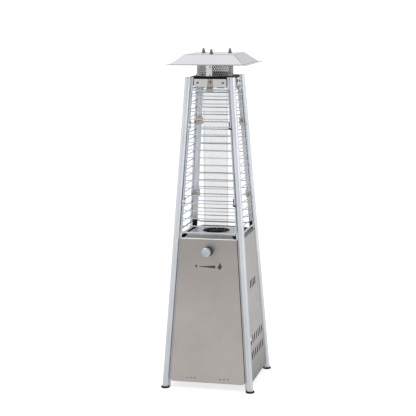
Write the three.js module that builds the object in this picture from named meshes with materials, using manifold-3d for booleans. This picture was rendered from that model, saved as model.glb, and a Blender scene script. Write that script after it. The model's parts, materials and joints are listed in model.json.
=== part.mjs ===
// Free-standing outdoor gas heater with a flame in a glass tube, as an assembly of separate parts.
// Millimetres, +Z up, origin on the floor at the centre of the four feet, knob side facing -Y.
import * as THREE from 'three';
import { mergeVertices } from 'three/addons/utils/BufferGeometryUtils.js';
import Module from 'manifold-3d';

const wasm = await Module();
wasm.setup();

// Overall size
const FOOT_SPACING = 240; // between the leg axes at floor level
const SIDE_SLOPE = 0.0693; // each side leans in by this much per unit of height
const LEG_TOP = 856;
const LEAN = Math.atan(SIDE_SLOPE);
const SLOPE_LENGTH = 1 / Math.cos(LEAN); // length along a side per unit of height
const GAP = 0.3; // clearance between parts that touch
const QUARTER = Math.PI / 2;
const LARGE_ROUND = 24; // flats around a large round part
const SIDES = ['front', 'right', 'back', 'left'];
const CORNERS = ['front_right', 'back_right', 'back_left', 'front_left'];

// Leg extrusion: a round nose with two flat flanges towards the neighbouring legs
const NOSE_R = 8.5;
const NOSE_BORE_R = 6.7;
const FLANGE_REACH = 14.5;
const FLANGE_FRONT = 1.2; // flange face behind the nose axis
const FLANGE_THICK = 1.8;
const FOOT_R = 12.3;
const FOOT_H = 4.5;
const PLUG_TOP = 20; // top of the foot's plug inside the nose

// Panels
const SHEET = 1;
const PANEL_PROUD = 3; // outer face in front of the leg axes
const PANEL_BOTTOM = 20;
const PANEL_TOP = 418.5;
const PANEL_HALF_BOTTOM = 106;
const PANEL_HALF_TOP = 79.5;
const PANEL_CHAMFER = 6;
const PANEL_RETURN = FLANGE_FRONT - 0.4; // where the folded rim ends
const FLAP_RISE = 8.4;
const FLAP_RUN = 16.7;
const FLAP_HALF_TOP = 60;
const FLAP_HALF_BOTTOM = 72.2;

// Vent slots
const SLOT_W = 11;
const LOW_VENTS = { count: 7, pitch: 24, bottoms: [79, 121], height: 23 };
const HIGH_VENTS = { count: 4, pitch: 20, bottoms: [270], height: 24 };
const HOLE_R = 1.6;
const HOLE_HEIGHT = 32;
const HOLE_GROUP_X = 47;
const HOLE_PITCH = 11;

// Base plate and tilt switch
const BASE_BOTTOM = 24;
const BASE_SHEET = 1.5;
const BASE_RIM = 12;
const SWITCH = { x: 60, halfLength: 20, halfWidth: 12, height: 14, canR: 8, canTop: 24 };

// Burner deck
const DECK_TOP = 425.5;
const DECK_SHEET = 1.2;
const DECK_HALF = 69.5;
const DECK_SKIRT = 22;
const DECK_HOLE_R = 37.8;

// Burner, with heights from the deck's top
const SEAT = {
  boreR: 30, lipR: 31.8, neckR: 37.3, flangeR: 41,
  top: 1.6, shoulder: -1.5, shelf: -2, bottom: -9.5,
};
const CUP = { r: 22, crown: 2, shoulder: -1.5, bottom: -19.5 };
const CUP_FLANGE = { r: 40, top: -9.8, bottom: -13.5 };
const STEM = { r: 12, boreR: 9.9, top: -23.5, bottom: -31.5 };
const MIXER = { r: 9.2, boreR: 7.6, mouthR: 14, top: -25.5, bell: -85, bottom: -96 };
const PROBE_CIRCLE_R = 27;
const PROBE_ANGLES = [0.7, 1.75];
const PROBE_BOTTOM = -35;
const PROBE_TIP = 8;
const ELECTRODE = { r: 2.1, tipR: 0.9, top: 6.5 };
const THERMOCOUPLE = { r: 1.7, tipR: 1.3, top: 5.5 };

// Glass tube
const GLASS_R = 35;
const GLASS_WALL = 2.5;
const GLASS_BOTTOM = DECK_TOP - 1.7;
const GLASS_TOP = 850;
const GASKET_R = 38;
const GASKET_BORE_R = 31;

// Guards
const GUARD_TOP = 821;
const GUARD_BOTTOM = 434;
const GUARD_INSET = 11; // side wires from the leg axes
const GUARD_FRONT = 1.4; // wire axes in front of the leg axes
const FRAME_R = 2.3;
const CORNER_R = 10;
const RUNG_R = 1.4;
const RUNG_COUNT = 18;
const RUNG_TOP = 805;
const RUNG_PITCH = 20.76;

// Clips and hooks: folded sheet that reaches in front of the guards' wires
const FOLD_SHEET = 1.2;
const WIRE_FRONT = -4.6; // middle of the sheet in front of a wire
const CLIP_SIDE = 17.2;
const CLIP_SHOULDER = 1.6;
const CLIP_ARM_END = 9;
const PRONG_H = 8;
const CLIPS = [ // rung: the one beside the clip's arms, counted from the top
  { name: 'upper', bottom: 716, top: 737, rung: 4 },
  { name: 'lower', bottom: 508.5, top: 529.5, rung: 14 },
];

// Top of the frame
const BRACKET_BOTTOM = 830;
const BRACKET_TOP = 851;
const BRACKET_HALF = 45;
const BRACKET_THICK = 1.5;
const BRACKET_SCREW_X = 35;
const SCREW_R = 2;
const SCREW_HEAD_R = 4.5;
const SCREW_HEAD_H = 2.6;
const HOOK_SCREW_Z = 843;
const HOOK = { halfTop: 6, halfBottom: 10, bend: 829, shelf: 824.5, bottom: 816 };
const TOP_PLATE_HALF = 57;
const TOP_PLATE_TOP = 857;
const TOP_PLATE_SKIRT = 24;
const TOP_PLATE_CHAMFER = 5.6;
const TOP_SHEET = 1.5;
const TOP_HOLE_R = 32;
const SPIGOT = { r: 48.8, boreR: 46.4, height: 9 };

// Flame screen and hood
const SCREEN_R = 50;
const SCREEN_WALL = 0.8;
const SCREEN_TOP = 912;
const RIM_HALF = 113;
const RIM_Z = 891.4;
const SLOPE_HALF = 100.8;
const HOOD_TOP = 917.3;
const HOOD_TOP_HALF = 67.9;
const STUD_CIRCLE_R = 43;
const STUD_R = 2.4;
const STUD_SHOULDER_R = 3.1;
const NUT_TOP = 931;
const NUT = { hexR: 4.7, hexHeight: 4.6, domeR: 3.9 };
const STUD_ANGLES = [-90, 30, 150];

// Gas valve and knob: distances behind (+) or in front (-) of the front legs' axes
const KNOB_HEIGHT = 385;
const KNOB_R = 12.5;
const KNOB_FACE = -33;
const KNOB_BACK = -9.4;
const GRIP_ANGLE = 0.9; // of the knob's grip bar, from upright
const KNOB_SOCKET = -15.6;
const KNOB_SOCKET_R = 9.4;
const BEZEL_R = 13.5;
const BEZEL_NECK_R = 8.6;
const BEZEL_FRONT = -9;
const SPINDLE_R = 3;
const SPINDLE = { front: -22, collarR: 5.2, collarFront: 1.5, collarBack: 3, back: 26 };
const SPRING = { r: 4.3, wireR: 0.5, turns: 4, front: 3.9, back: 13.4 };
const ROTOR_R = 7.6;
const ROTOR_BORE_R = 3.5;
const ROTOR_BORE_END = 31;
const ROTOR_BACK = 40;
const VALVE_FRONT = 14;
const VALVE_BACK = 46;
const VALVE_HALF_X = 17;
const VALVE_HALF_Z = 13;
const VALVE_SHEET = 1.5;
const STUB_X = 9;
const STUB_DEPTH = 34;
const STUB_END = 22; // below the knob's axis
const INLET_HEIGHT = 60;
const NOZZLE_X = 45;
const NOZZLE_NECK_R = 7;
const HOSE_HOLE_R = 35;

function finish(color, roughness, metalness) {
  return new THREE.MeshStandardMaterial({ color, roughness, metalness });
}

const MATERIALS = {
  aluminium: finish(0xc9ccd1, 0.35, 1),
  brushed: finish(0xa5a09b, 0.4, 1),
  stainless: finish(0xb9bcc0, 0.35, 1),
  wire: finish(0xaab2ba, 0.35, 1),
  hood: finish(0xd6d9dd, 0.4, 1),
  screen: finish(0x6b6660, 0.5, 1),
  brass: finish(0xb08d4f, 0.4, 1),
  black: finish(0x17171a, 0.5, 0),
  blackSteel: finish(0x1b1b1c, 0.55, 0.6),
  steel: finish(0x8d9094, 0.45, 1),
  ceramic: finish(0xe6e2d8, 0.6, 0),
  glass: finish(0xf2f5f6, 0.05, 0),
};
MATERIALS.glass.transparent = true;
MATERIALS.glass.opacity = 0.3;

const heater = new THREE.Group();
const group = (parent) => {
  const child = new THREE.Group();
  parent.add(child);
  return child;
};
const sideFrames = SIDES.map((_, k) => {
  const turned = group(heater);
  turned.rotation.z = k * QUARTER;
  const leaning = group(turned);
  leaning.position.y = -FOOT_SPACING / 2;
  leaning.rotation.x = -LEAN;
  return leaning;
});

function addPart(parent, name, geometry, material) {
  const mesh = new THREE.Mesh(geometry, material);
  mesh.name = name;
  parent.add(mesh);
}

// Solids: joining and cutting
function solid(geometry) {
  const bare = geometry.clone();
  bare.deleteAttribute('normal');
  bare.deleteAttribute('uv');
  const merged = mergeVertices(bare, 1e-4);
  const vertProperties = new Float32Array(merged.attributes.position.array);
  const triVerts = new Uint32Array(merged.index.array);
  return new wasm.Manifold(new wasm.Mesh({ numProp: 3, vertProperties, triVerts }));
}

function shapeOf(manifold) {
  const mesh = manifold.getMesh();
  const geometry = new THREE.BufferGeometry();
  geometry.setAttribute('position', new THREE.BufferAttribute(new Float32Array(mesh.vertProperties), 3));
  geometry.setIndex(new THREE.BufferAttribute(new Uint32Array(mesh.triVerts), 1));
  return geometry;
}

function join(first, ...others) {
  return shapeOf(others.reduce((sum, part) => sum.add(solid(part)), solid(first)));
}

function cut(body, ...tools) {
  return shapeOf(tools.reduce((rest, tool) => rest.subtract(solid(tool)), solid(body)));
}

function common(first, second) {
  return shapeOf(solid(first).intersect(solid(second)));
}

// Basic geometry
const half = (height) => FOOT_SPACING / 2 - SIDE_SLOPE * height; // from the centre to a leg axis
const along = (height) => height * SLOPE_LENGTH; // height turned into length along a leaning side
const rungHeight = (i) => RUNG_TOP - i * RUNG_PITCH;
const polygon = (points) => new THREE.Shape(points.map(([x, y]) => new THREE.Vector2(x, y)));
const rectangle = (x0, y0, x1, y1) => polygon([[x0, y0], [x1, y0], [x1, y1], [x0, y1]]);

function arc(radius, from, to, steps, cx = 0, cy = 0) {
  return Array.from({ length: steps + 1 }, (_, i) => {
    const angle = from + ((to - from) * i) / steps;
    return [cx + radius * Math.cos(angle), cy + radius * Math.sin(angle)];
  });
}

function circle(radius, steps = 16, cx = 0, cy = 0) {
  return polygon(arc(radius, 0, 2 * Math.PI, steps, cx, cy).slice(1));
}

function box(x0, x1, y0, y1, z0, z1) {
  const block = new THREE.BoxGeometry(x1 - x0, y1 - y0, z1 - z0);
  return block.translate((x0 + x1) / 2, (y0 + y1) / 2, (z0 + z1) / 2);
}

// An outline drawn in x and y, raised between two heights
function raise(shape, z0, z1) {
  return new THREE.ExtrudeGeometry(shape, { depth: z1 - z0, bevelEnabled: false }).translate(0, 0, z0);
}

// An outline drawn in x and height, made into a plate between two depths
const plate = (shape, near, far) => raise(shape, 0, far - near).rotateX(QUARTER).translate(0, far, 0);

// A section drawn in depth and height, run along x
function run(section, x0, x1) {
  const turn = new THREE.Matrix4().makeBasis(
    new THREE.Vector3(0, 1, 0),
    new THREE.Vector3(0, 0, 1),
    new THREE.Vector3(1, 0, 0),
  );
  return raise(section, x0, x1).applyMatrix4(turn);
}

// The outline of a folded strip: its middle line, given one thickness
function strip(points, thickness) {
  const line = points.map(([x, y]) => new THREE.Vector2(x, y));
  const normals = line.slice(1).map((point, i) => {
    const direction = point.clone().sub(line[i]).normalize();
    return new THREE.Vector2(-direction.y, direction.x);
  });
  const offsets = line.map((_, i) => {
    const before = normals[Math.max(i - 1, 0)];
    const after = normals[Math.min(i, normals.length - 1)];
    const middle = before.clone().add(after).normalize();
    return middle.multiplyScalar(thickness / 2 / middle.dot(after));
  });
  const left = line.map((point, i) => point.clone().add(offsets[i]));
  const right = line.map((point, i) => point.clone().sub(offsets[i]));
  return new THREE.Shape([...right, ...left.reverse()]);
}

// A round body about Z from its outline in radius and height, listed either way round
function turned(points, segments = 20) {
  const area = points.reduce((sum, [r, z], i) => {
    const [nextR, nextZ] = points[(i + 1) % points.length];
    return sum + r * nextZ - nextR * z;
  }, 0);
  const outline = (area > 0 ? points : [...points].reverse()).map(([r, z]) => new THREE.Vector2(r, z));
  const onAxis = outline.filter((point) => point.x === 0).length === 2;
  const endsOnAxis = () => outline[0].x === 0 && outline.at(-1).x === 0;
  while (onAxis && !endsOnAxis()) outline.push(outline.shift());
  if (!onAxis) outline.push(outline[0].clone());
  return new THREE.LatheGeometry(outline, segments).rotateX(QUARTER);
}

// The same about the depth axis: outline in radius and depth
function turnedAlongDepth(points, segments) {
  return turned(points.map(([r, y]) => [r, -y]), segments).rotateX(QUARTER);
}

function rod(r, z0, z1, segments = 10) {
  return turned([[0, z0], [r, z0], [r, z1], [0, z1]], segments);
}

function depthRod(r, y0, y1, segments = 10) {
  return turnedAlongDepth([[0, y0], [r, y0], [r, y1], [0, y1]], segments);
}

// A round bar along a smooth curve through the given points
function pipe(points, radius, steps, sides = 8) {
  const curve = new THREE.CatmullRomCurve3(points.map((point) => new THREE.Vector3(...point)));
  return new THREE.ExtrudeGeometry(circle(radius, sides), { steps, extrudePath: curve, bevelEnabled: false });
}

// A part of the front right corner, drawn upright around the leg axis, then set at its place and leaned in
function atCorner(geometry) {
  const shear = new THREE.Matrix4().set(1, 0, -SIDE_SLOPE, 0, 0, 1, SIDE_SLOPE, 0, 0, 0, 1, 0, 0, 0, 0, 1);
  return geometry.translate(FOOT_SPACING / 2, -FOOT_SPACING / 2, 0).applyMatrix4(shear);
}

// Legs and feet
function leg() {
  const flangeBack = FLANGE_FRONT + FLANGE_THICK;
  const atFront = Math.asin(FLANGE_FRONT / NOSE_R);
  const atBack = Math.asin(flangeBack / NOSE_R);
  const outline = polygon([
    [-FLANGE_FRONT, FLANGE_REACH],
    [-flangeBack, FLANGE_REACH],
    ...arc(NOSE_R, QUARTER + atBack, Math.PI - atBack, 3),
    [-FLANGE_REACH, flangeBack],
    [-FLANGE_REACH, FLANGE_FRONT],
    ...arc(NOSE_R, Math.PI - atFront, 2 * Math.PI + QUARTER + atFront, 16),
  ]);
  outline.holes.push(circle(NOSE_BORE_R, 12));
  return atCorner(raise(outline, FOOT_H + GAP, LEG_TOP));
}

function foot() {
  const plugR = NOSE_BORE_R - 1;
  const edge = 1.5;
  const outline = [
    [0, 0], [FOOT_R - edge, 0], [FOOT_R, edge], [FOOT_R, FOOT_H - edge], [FOOT_R - edge, FOOT_H],
    [plugR, FOOT_H], [plugR, PLUG_TOP], [0, PLUG_TOP],
  ];
  return atCorner(turned(outline, 16));
}

// A clip across the inside of a leg that holds the side wires of the two guards beside it
function guardClip(bottom, top, rung) {
  const reach = (CLIP_SIDE + CLIP_SHOULDER) / 2;
  const web = [[-CLIP_SIDE, CLIP_SHOULDER], [-CLIP_SHOULDER, CLIP_SIDE]];
  const firstLine = [[-CLIP_ARM_END, WIRE_FRONT], [-CLIP_SIDE, WIRE_FRONT], web[0], [-reach, reach]];
  const firstArm = strip(firstLine, FOLD_SHEET);
  const secondArm = strip(firstLine.map(([x, y]) => [-y, -x]), FOLD_SHEET);
  const rungBottom = rung - RUNG_R - GAP;
  const rungTop = rung + RUNG_R + GAP;
  const webDistance = reach * Math.SQRT2;
  const head = webDistance + FOLD_SHEET / 2;
  const screw = turned([
    [0, NOSE_R + GAP], [SCREW_R, NOSE_R + GAP], [SCREW_R, webDistance],
    [SCREW_HEAD_R, webDistance], [SCREW_HEAD_R, head + SCREW_HEAD_H], [0, head + SCREW_HEAD_H],
  ], 8);
  const inwards = new THREE.Vector3(-1, 1, 0).normalize();
  screw.applyQuaternion(new THREE.Quaternion().setFromUnitVectors(new THREE.Vector3(0, 0, 1), inwards));
  screw.translate(0, 0, (bottom + top) / 2);
  return atCorner(join(
    raise(strip(web, FOLD_SHEET), bottom, top),
    raise(firstArm, bottom, rungBottom),
    raise(secondArm, bottom, rungBottom),
    raise(secondArm, rungTop, rungTop + PRONG_H),
    screw,
  ));
}

// Panels: a shallow folded tray with a mitred flap at the top that bends in to the burner deck
function panelOutline(inset) {
  const bottom = along(PANEL_BOTTOM) + inset;
  const top = along(PANEL_TOP) + 1;
  const low = PANEL_HALF_BOTTOM - inset;
  const high = PANEL_HALF_TOP - inset;
  const corner = PANEL_CHAMFER - inset / 2;
  return polygon([
    [-low + corner, bottom], [low - corner, bottom], [low, bottom + corner],
    [high, top], [-high, top], [-low, bottom + corner],
  ]);
}

function topFlap() {
  const middle = SHEET / 2 - PANEL_PROUD;
  const bend = along(PANEL_TOP);
  const top = [middle + FLAP_RUN, bend + FLAP_RISE];
  const section = strip([[middle, bend - 6], [middle, bend], top], SHEET);
  const ends = polygon([
    [-FLAP_HALF_BOTTOM, bend - 9], [FLAP_HALF_BOTTOM, bend - 9], [FLAP_HALF_BOTTOM, bend + SHEET],
    [FLAP_HALF_TOP, bend + FLAP_RISE + SHEET], [-FLAP_HALF_TOP, bend + FLAP_RISE + SHEET],
    [-FLAP_HALF_BOTTOM, bend + SHEET],
  ]);
  return common(run(section, -PANEL_HALF_TOP, PANEL_HALF_TOP), plate(ends, -PANEL_PROUD - 1, FLAP_RUN));
}

function ventSlots({ count, pitch, bottoms, height }) {
  const r = SLOT_W / 2;
  const slot = polygon([
    ...arc(r, Math.PI, 2 * Math.PI, 3, 0, r),
    ...arc(r, 0, Math.PI, 3, 0, height - r),
  ]);
  return bottoms.flatMap((bottom) => Array.from({ length: count }, (_, i) => {
    const x = (i - (count - 1) / 2) * pitch;
    return plate(slot, -PANEL_PROUD - 1, 0).translate(x, 0, along(bottom));
  }));
}

function roundHole(radius, x, height) {
  return depthRod(radius, -PANEL_PROUD - 1, 0).translate(x, 0, along(height));
}

function panel(openings) {
  const tray = cut(
    plate(panelOutline(0), -PANEL_PROUD, PANEL_RETURN),
    plate(panelOutline(SHEET), SHEET - PANEL_PROUD, PANEL_RETURN + 1),
  );
  return cut(join(tray, topFlap()), ...openings);
}

function panelOpenings(side) {
  const inletHole = roundHole(NOZZLE_NECK_R + 0.7, NOZZLE_X, INLET_HEIGHT);
  if (side === 'back') return [...ventSlots(LOW_VENTS), inletHole];
  if (side !== 'front') return [...ventSlots(LOW_VENTS), ...ventSlots(HIGH_VENTS)];
  const group = [-HOLE_PITCH, 0, HOLE_PITCH];
  const places = [-HOLE_GROUP_X, HOLE_GROUP_X].flatMap((middle) => group.map((x) => middle + x));
  const spindleHole = roundHole(SPINDLE_R + 1.2, 0, KNOB_HEIGHT);
  return [spindleHole, ...places.map((x) => roundHole(HOLE_R, x, HOLE_HEIGHT))];
}

// A flat square sheet with its corners notched around the four legs
function notchedSheet(bottom, thickness) {
  const outer = half(bottom) - FLANGE_FRONT - GAP;
  const notch = half(bottom) - FLANGE_REACH - 1;
  const sheet = join(
    box(-notch, notch, -outer, outer, bottom, bottom + thickness),
    box(-outer, outer, -notch, notch, bottom, bottom + thickness),
  );
  return { sheet, outer, notch };
}

// Bottom of the housing
function basePlate() {
  const { sheet, outer, notch } = notchedSheet(BASE_BOTTOM, BASE_SHEET);
  const rimBars = SIDES.map((_, k) =>
    box(-notch, notch, -outer, BASE_SHEET - outer, BASE_BOTTOM, BASE_BOTTOM + BASE_RIM).rotateZ(k * QUARTER));
  const hoseHole = rod(HOSE_HOLE_R, BASE_BOTTOM - 1, BASE_BOTTOM + BASE_SHEET + 1, 20);
  return cut(join(sheet, ...rimBars), hoseHole);
}

function tiltSwitch() {
  const { x, halfLength, halfWidth, height, canR, canTop } = SWITCH;
  const floor = BASE_BOTTOM + BASE_SHEET + GAP;
  const housing = box(-halfLength, halfLength, -halfWidth, halfWidth, floor, floor + height);
  const can = rod(canR, floor + height / 2, floor + canTop, 16);
  return join(housing, can).translate(x, 0, 0);
}

// Burner deck: a raised square pan whose flange is fixed between the legs
function burnerDeck() {
  const under = DECK_TOP - DECK_SHEET;
  const bottom = DECK_TOP - DECK_SKIRT;
  const inside = DECK_HALF - DECK_SHEET;
  const { sheet } = notchedSheet(bottom, DECK_SHEET);
  return cut(
    join(box(-DECK_HALF, DECK_HALF, -DECK_HALF, DECK_HALF, bottom, DECK_TOP), sheet),
    box(-inside, inside, -inside, inside, bottom - 1, under),
    rod(DECK_HOLE_R, under - 1, DECK_TOP + 1, LARGE_ROUND),
  );
}

// A ring with a rectangular section
function ringBetween(inner, outer, bottom, top) {
  return turned([[inner, bottom], [outer, bottom], [outer, top], [inner, top]], LARGE_ROUND);
}

// The ring that the glass tube stands in
function seatRing() {
  const { boreR, lipR, neckR, flangeR, top, shoulder, shelf, bottom } = SEAT;
  const pocketR = GLASS_R + 0.4;
  const outline = [
    [boreR, bottom], [flangeR, bottom], [flangeR, shoulder], [neckR, shoulder], [neckR, top],
    [pocketR, top], [pocketR, shelf], [lipR, shelf], [lipR, 0], [boreR, 0],
  ];
  return turned(outline, LARGE_ROUND).translate(0, 0, DECK_TOP);
}

// A hollow cup with a crowned lid, on a flange and a stem
function burnerHead() {
  const wall = CUP.r - 2.4;
  const chamfer = CUP.r - 2;
  const outline = [
    [0, CUP.crown - 4], [wall - 0.6, CUP.crown - 5], [wall, CUP.bottom + 2],
    [STEM.boreR, STEM.top + 1], [STEM.boreR, STEM.bottom], [STEM.r, STEM.bottom], [STEM.r, STEM.top],
    [CUP.r, CUP.bottom], [CUP.r, CUP_FLANGE.bottom], [CUP_FLANGE.r, CUP_FLANGE.bottom],
    [CUP_FLANGE.r, CUP_FLANGE.top], [CUP.r, CUP_FLANGE.top], [CUP.r, CUP.shoulder],
    [chamfer, CUP.crown - 1.1], [0, CUP.crown],
  ];
  const probeHole = rod(2.8, CUP_FLANGE.bottom - 1, CUP_FLANGE.top + 1).translate(PROBE_CIRCLE_R, 0, 0);
  const probeHoles = PROBE_ANGLES.map((angle) => probeHole.clone().rotateZ(angle));
  return cut(turned(outline, LARGE_ROUND), ...probeHoles).translate(0, 0, DECK_TOP);
}

function mixingTube() {
  const { r, boreR, mouthR, top, bell, bottom } = MIXER;
  const wall = 1.5;
  const outline = [
    [boreR, bell - 1], [mouthR - wall, bottom], [mouthR, bottom], [r, bell], [r, top], [boreR, top],
  ];
  return turned(outline).translate(0, 0, DECK_TOP);
}

function probe(angle, { r, tipR, top }) {
  const shoulder = top - PROBE_TIP;
  const outline = [
    [0, PROBE_BOTTOM], [r, PROBE_BOTTOM], [r, shoulder], [tipR, shoulder], [tipR, top], [0, top],
  ];
  return turned(outline, 10).translate(PROBE_CIRCLE_R, 0, DECK_TOP).rotateZ(angle);
}

// Glass tube and its gasket
const glassTube = () => ringBetween(GLASS_R - GLASS_WALL, GLASS_R, GLASS_BOTTOM, GLASS_TOP);
const tubeGasket = () =>
  ringBetween(GASKET_BORE_R, GASKET_R, GLASS_TOP + GAP, TOP_PLATE_TOP - TOP_SHEET - GAP);

// Guards: a bent frame wire with welded cross wires
function wireLoop(offset) {
  const corner = (cx, cz, from) => arc(CORNER_R + offset, from, from + QUARTER, 3, cx, cz);
  const reach = (height) => half(height) - GUARD_INSET - CORNER_R;
  const low = reach(GUARD_BOTTOM + CORNER_R);
  const high = reach(GUARD_TOP - CORNER_R);
  const bottom = along(GUARD_BOTTOM) + CORNER_R;
  const top = along(GUARD_TOP) - CORNER_R;
  return polygon([
    ...corner(low, bottom, -QUARTER),
    ...corner(high, top, 0),
    ...corner(-high, top, QUARTER),
    ...corner(-low, bottom, 2 * QUARTER),
  ]);
}

function guard() {
  const bevel = FRAME_R * 0.6;
  const outline = wireLoop(FRAME_R);
  outline.holes.push(wireLoop(-FRAME_R));
  const frame = new THREE.ExtrudeGeometry(outline, {
    depth: 2 * (FRAME_R - bevel),
    bevelThickness: bevel,
    bevelSize: bevel,
    bevelOffset: -bevel,
    bevelSegments: 1,
  }).rotateX(QUARTER).translate(0, FRAME_R - bevel - GUARD_FRONT, 0);
  const rungs = Array.from({ length: RUNG_COUNT }, (_, i) => {
    const height = rungHeight(i);
    const reach = half(height) - GUARD_INSET;
    return rod(RUNG_R, -reach, reach, 4).rotateY(QUARTER).translate(0, -GUARD_FRONT, along(height));
  });
  return join(frame, ...rungs);
}

// Screwed plates at the top of each side
function screwAt(x, height, face, end) {
  return turnedAlongDepth([
    [0, face - SCREW_HEAD_H], [SCREW_HEAD_R - 1, face - SCREW_HEAD_H], [SCREW_HEAD_R, face - 1.2],
    [SCREW_HEAD_R, face + 0.1], [SCREW_R, face + 0.1], [SCREW_R, end], [0, end],
  ], 8).translate(x, 0, along(height));
}

function topBracket() {
  const bottom = along(BRACKET_BOTTOM);
  const top = along(BRACKET_TOP);
  const middle = (BRACKET_BOTTOM + BRACKET_TOP) / 2;
  const front = FLANGE_FRONT;
  const outline = rectangle(-BRACKET_HALF, bottom, BRACKET_HALF, top);
  const body = plate(outline, front, front + BRACKET_THICK);
  const screws = [-1, 1].map((s) => screwAt(s * BRACKET_SCREW_X, middle, front, front + 8));
  const hookHole = depthRod(SCREW_R + 0.5, front - 1, front + 3).translate(0, 0, along(HOOK_SCREW_Z));
  return cut(join(body, ...screws), hookHole);
}

// A tapered tongue that is bent forward over the guard's top wire
function guardHook() {
  const { halfTop, halfBottom, bend, shelf, bottom } = HOOK;
  const back = FLANGE_FRONT - GAP - FOLD_SHEET / 2;
  const section = strip([
    [back, along(BRACKET_TOP)], [back, along(bend)],
    [WIRE_FRONT, along(shelf)], [WIRE_FRONT, along(bottom + 0.5)],
  ], FOLD_SHEET);
  const low = along(bottom);
  const high = along(BRACKET_TOP + 1);
  const outline = polygon([[-halfBottom, low], [halfBottom, low], [halfTop, high], [-halfTop, high]]);
  const body = common(run(section, -halfBottom - 1, halfBottom + 1), plate(outline, -8, 4));
  return join(body, screwAt(0, HOOK_SCREW_Z, back, FLANGE_FRONT + 2.2));
}

// Black plate that closes the frame at the top and carries the screen and the hood's studs
function topPlate() {
  const bottom = TOP_PLATE_TOP - TOP_PLATE_SKIRT;
  const tray = (edge, c, z0, z1) => raise(polygon([
    [edge, -edge + c], [edge, edge - c], [edge - c, edge], [-edge + c, edge],
    [-edge, edge - c], [-edge, -edge + c], [-edge + c, -edge], [edge - c, -edge],
  ]), z0, z1);
  const inner = TOP_PLATE_HALF - TOP_SHEET;
  const spigot = ringBetween(SPIGOT.boreR, SPIGOT.r, TOP_PLATE_TOP - 1, TOP_PLATE_TOP + SPIGOT.height);
  const shell = cut(
    tray(TOP_PLATE_HALF, TOP_PLATE_CHAMFER, bottom, TOP_PLATE_TOP),
    tray(inner, TOP_PLATE_CHAMFER - 0.9, bottom - 1, TOP_PLATE_TOP - TOP_SHEET),
  );
  const screwHeight = (BRACKET_BOTTOM + BRACKET_TOP) / 2;
  const screwHole = depthRod(SCREW_R + 1, -TOP_PLATE_HALF - 7, -TOP_PLATE_HALF + 7);
  const screwHoles = SIDES.flatMap((_, k) => [-1, 1].map((s) =>
    screwHole.clone().translate(s * BRACKET_SCREW_X, 0, screwHeight).rotateZ(k * QUARTER)));
  const flameHole = rod(TOP_HOLE_R, TOP_PLATE_TOP - 5, TOP_PLATE_TOP + 1, LARGE_ROUND);
  return cut(join(shell, spigot), flameHole, ...studHoles(TOP_PLATE_TOP), ...screwHoles);
}

const atStud = (geometry, degrees) =>
  geometry.translate(STUD_CIRCLE_R, 0, 0).rotateZ(THREE.MathUtils.degToRad(degrees));

const studHoles = (height) =>
  STUD_ANGLES.map((angle) => atStud(rod(STUD_R + 0.5, height - 5, height + 1), angle));

const flameScreen = () => ringBetween(SCREEN_R - SCREEN_WALL, SCREEN_R, TOP_PLATE_TOP + GAP, SCREEN_TOP);

function hood() {
  const square = ([edge, z]) => [edge * Math.SQRT2, z];
  const sheet = turned([
    [0, HOOD_TOP], [HOOD_TOP_HALF, HOOD_TOP], [SLOPE_HALF, RIM_Z], [RIM_HALF, RIM_Z],
    [RIM_HALF, RIM_Z - SHEET], [SLOPE_HALF - 0.5, RIM_Z - SHEET],
    [HOOD_TOP_HALF - 0.5, HOOD_TOP - SHEET], [0, HOOD_TOP - SHEET],
  ].map(square), 4).rotateZ(QUARTER / 2);
  return cut(sheet, ...studHoles(HOOD_TOP));
}

function hoodStud() {
  const bottom = TOP_PLATE_TOP - 6;
  const top = NUT_TOP - 4;
  const shoulderBottom = TOP_PLATE_TOP + GAP;
  const shoulderTop = HOOD_TOP - SHEET - GAP;
  return turned([
    [0, bottom], [STUD_R, bottom], [STUD_R, shoulderBottom], [STUD_SHOULDER_R, shoulderBottom],
    [STUD_SHOULDER_R, shoulderTop], [STUD_R, shoulderTop], [STUD_R, top], [0, top],
  ], 12);
}

function hoodNut() {
  const seat = HOOD_TOP + GAP;
  const hexTop = seat + NUT.hexHeight;
  const hex = raise(circle(NUT.hexR, 6), seat, hexTop);
  const dome = turned([
    [0, seat + 1], [NUT.domeR, seat + 1], [NUT.domeR, hexTop + 1],
    [NUT.domeR - 0.5, NUT_TOP - 4.5], [NUT.domeR / 2, NUT_TOP - 1.2], [0, NUT_TOP],
  ], 12);
  return cut(join(hex, dome), rod(STUD_R + 0.4, seat - 1, NUT_TOP - 3.6));
}

// Gas valve, knob and pipes: the knob group's depth axis is the knob's own axis
function bezel() {
  const boreR = SPINDLE_R + 0.8;
  const back = -PANEL_PROUD - GAP;
  const rim = back - 1.7;
  return turnedAlongDepth([
    [boreR, back], [BEZEL_R, back], [BEZEL_R, rim + 0.4], [BEZEL_R - 0.8, rim],
    [BEZEL_NECK_R, rim], [BEZEL_NECK_R, BEZEL_FRONT], [boreR, BEZEL_FRONT],
  ]);
}

function knob() {
  const face = KNOB_FACE + 1.2;
  const boreR = SPINDLE_R + GAP;
  const boreEnd = SPINDLE.front - GAP;
  const body = turnedAlongDepth([
    [0, face], [KNOB_R - 1, face], [KNOB_R, face + 1], [KNOB_R, KNOB_BACK], [KNOB_SOCKET_R, KNOB_BACK],
    [KNOB_SOCKET_R, KNOB_SOCKET], [boreR, KNOB_SOCKET], [boreR, boreEnd], [0, boreEnd],
  ]);
  const gripHalf = KNOB_R - 3;
  const grip = box(-1.8, 1.8, KNOB_FACE, face + 0.5, -gripHalf, gripHalf).rotateY(GRIP_ANGLE);
  return join(body, grip);
}

function spindle() {
  const { front, collarR, collarFront, collarBack, back } = SPINDLE;
  return turnedAlongDepth([
    [0, front], [SPINDLE_R, front], [SPINDLE_R, collarFront], [collarR, collarFront],
    [collarR, collarBack], [SPINDLE_R, collarBack], [SPINDLE_R, back], [0, back],
  ], 16);
}

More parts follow.
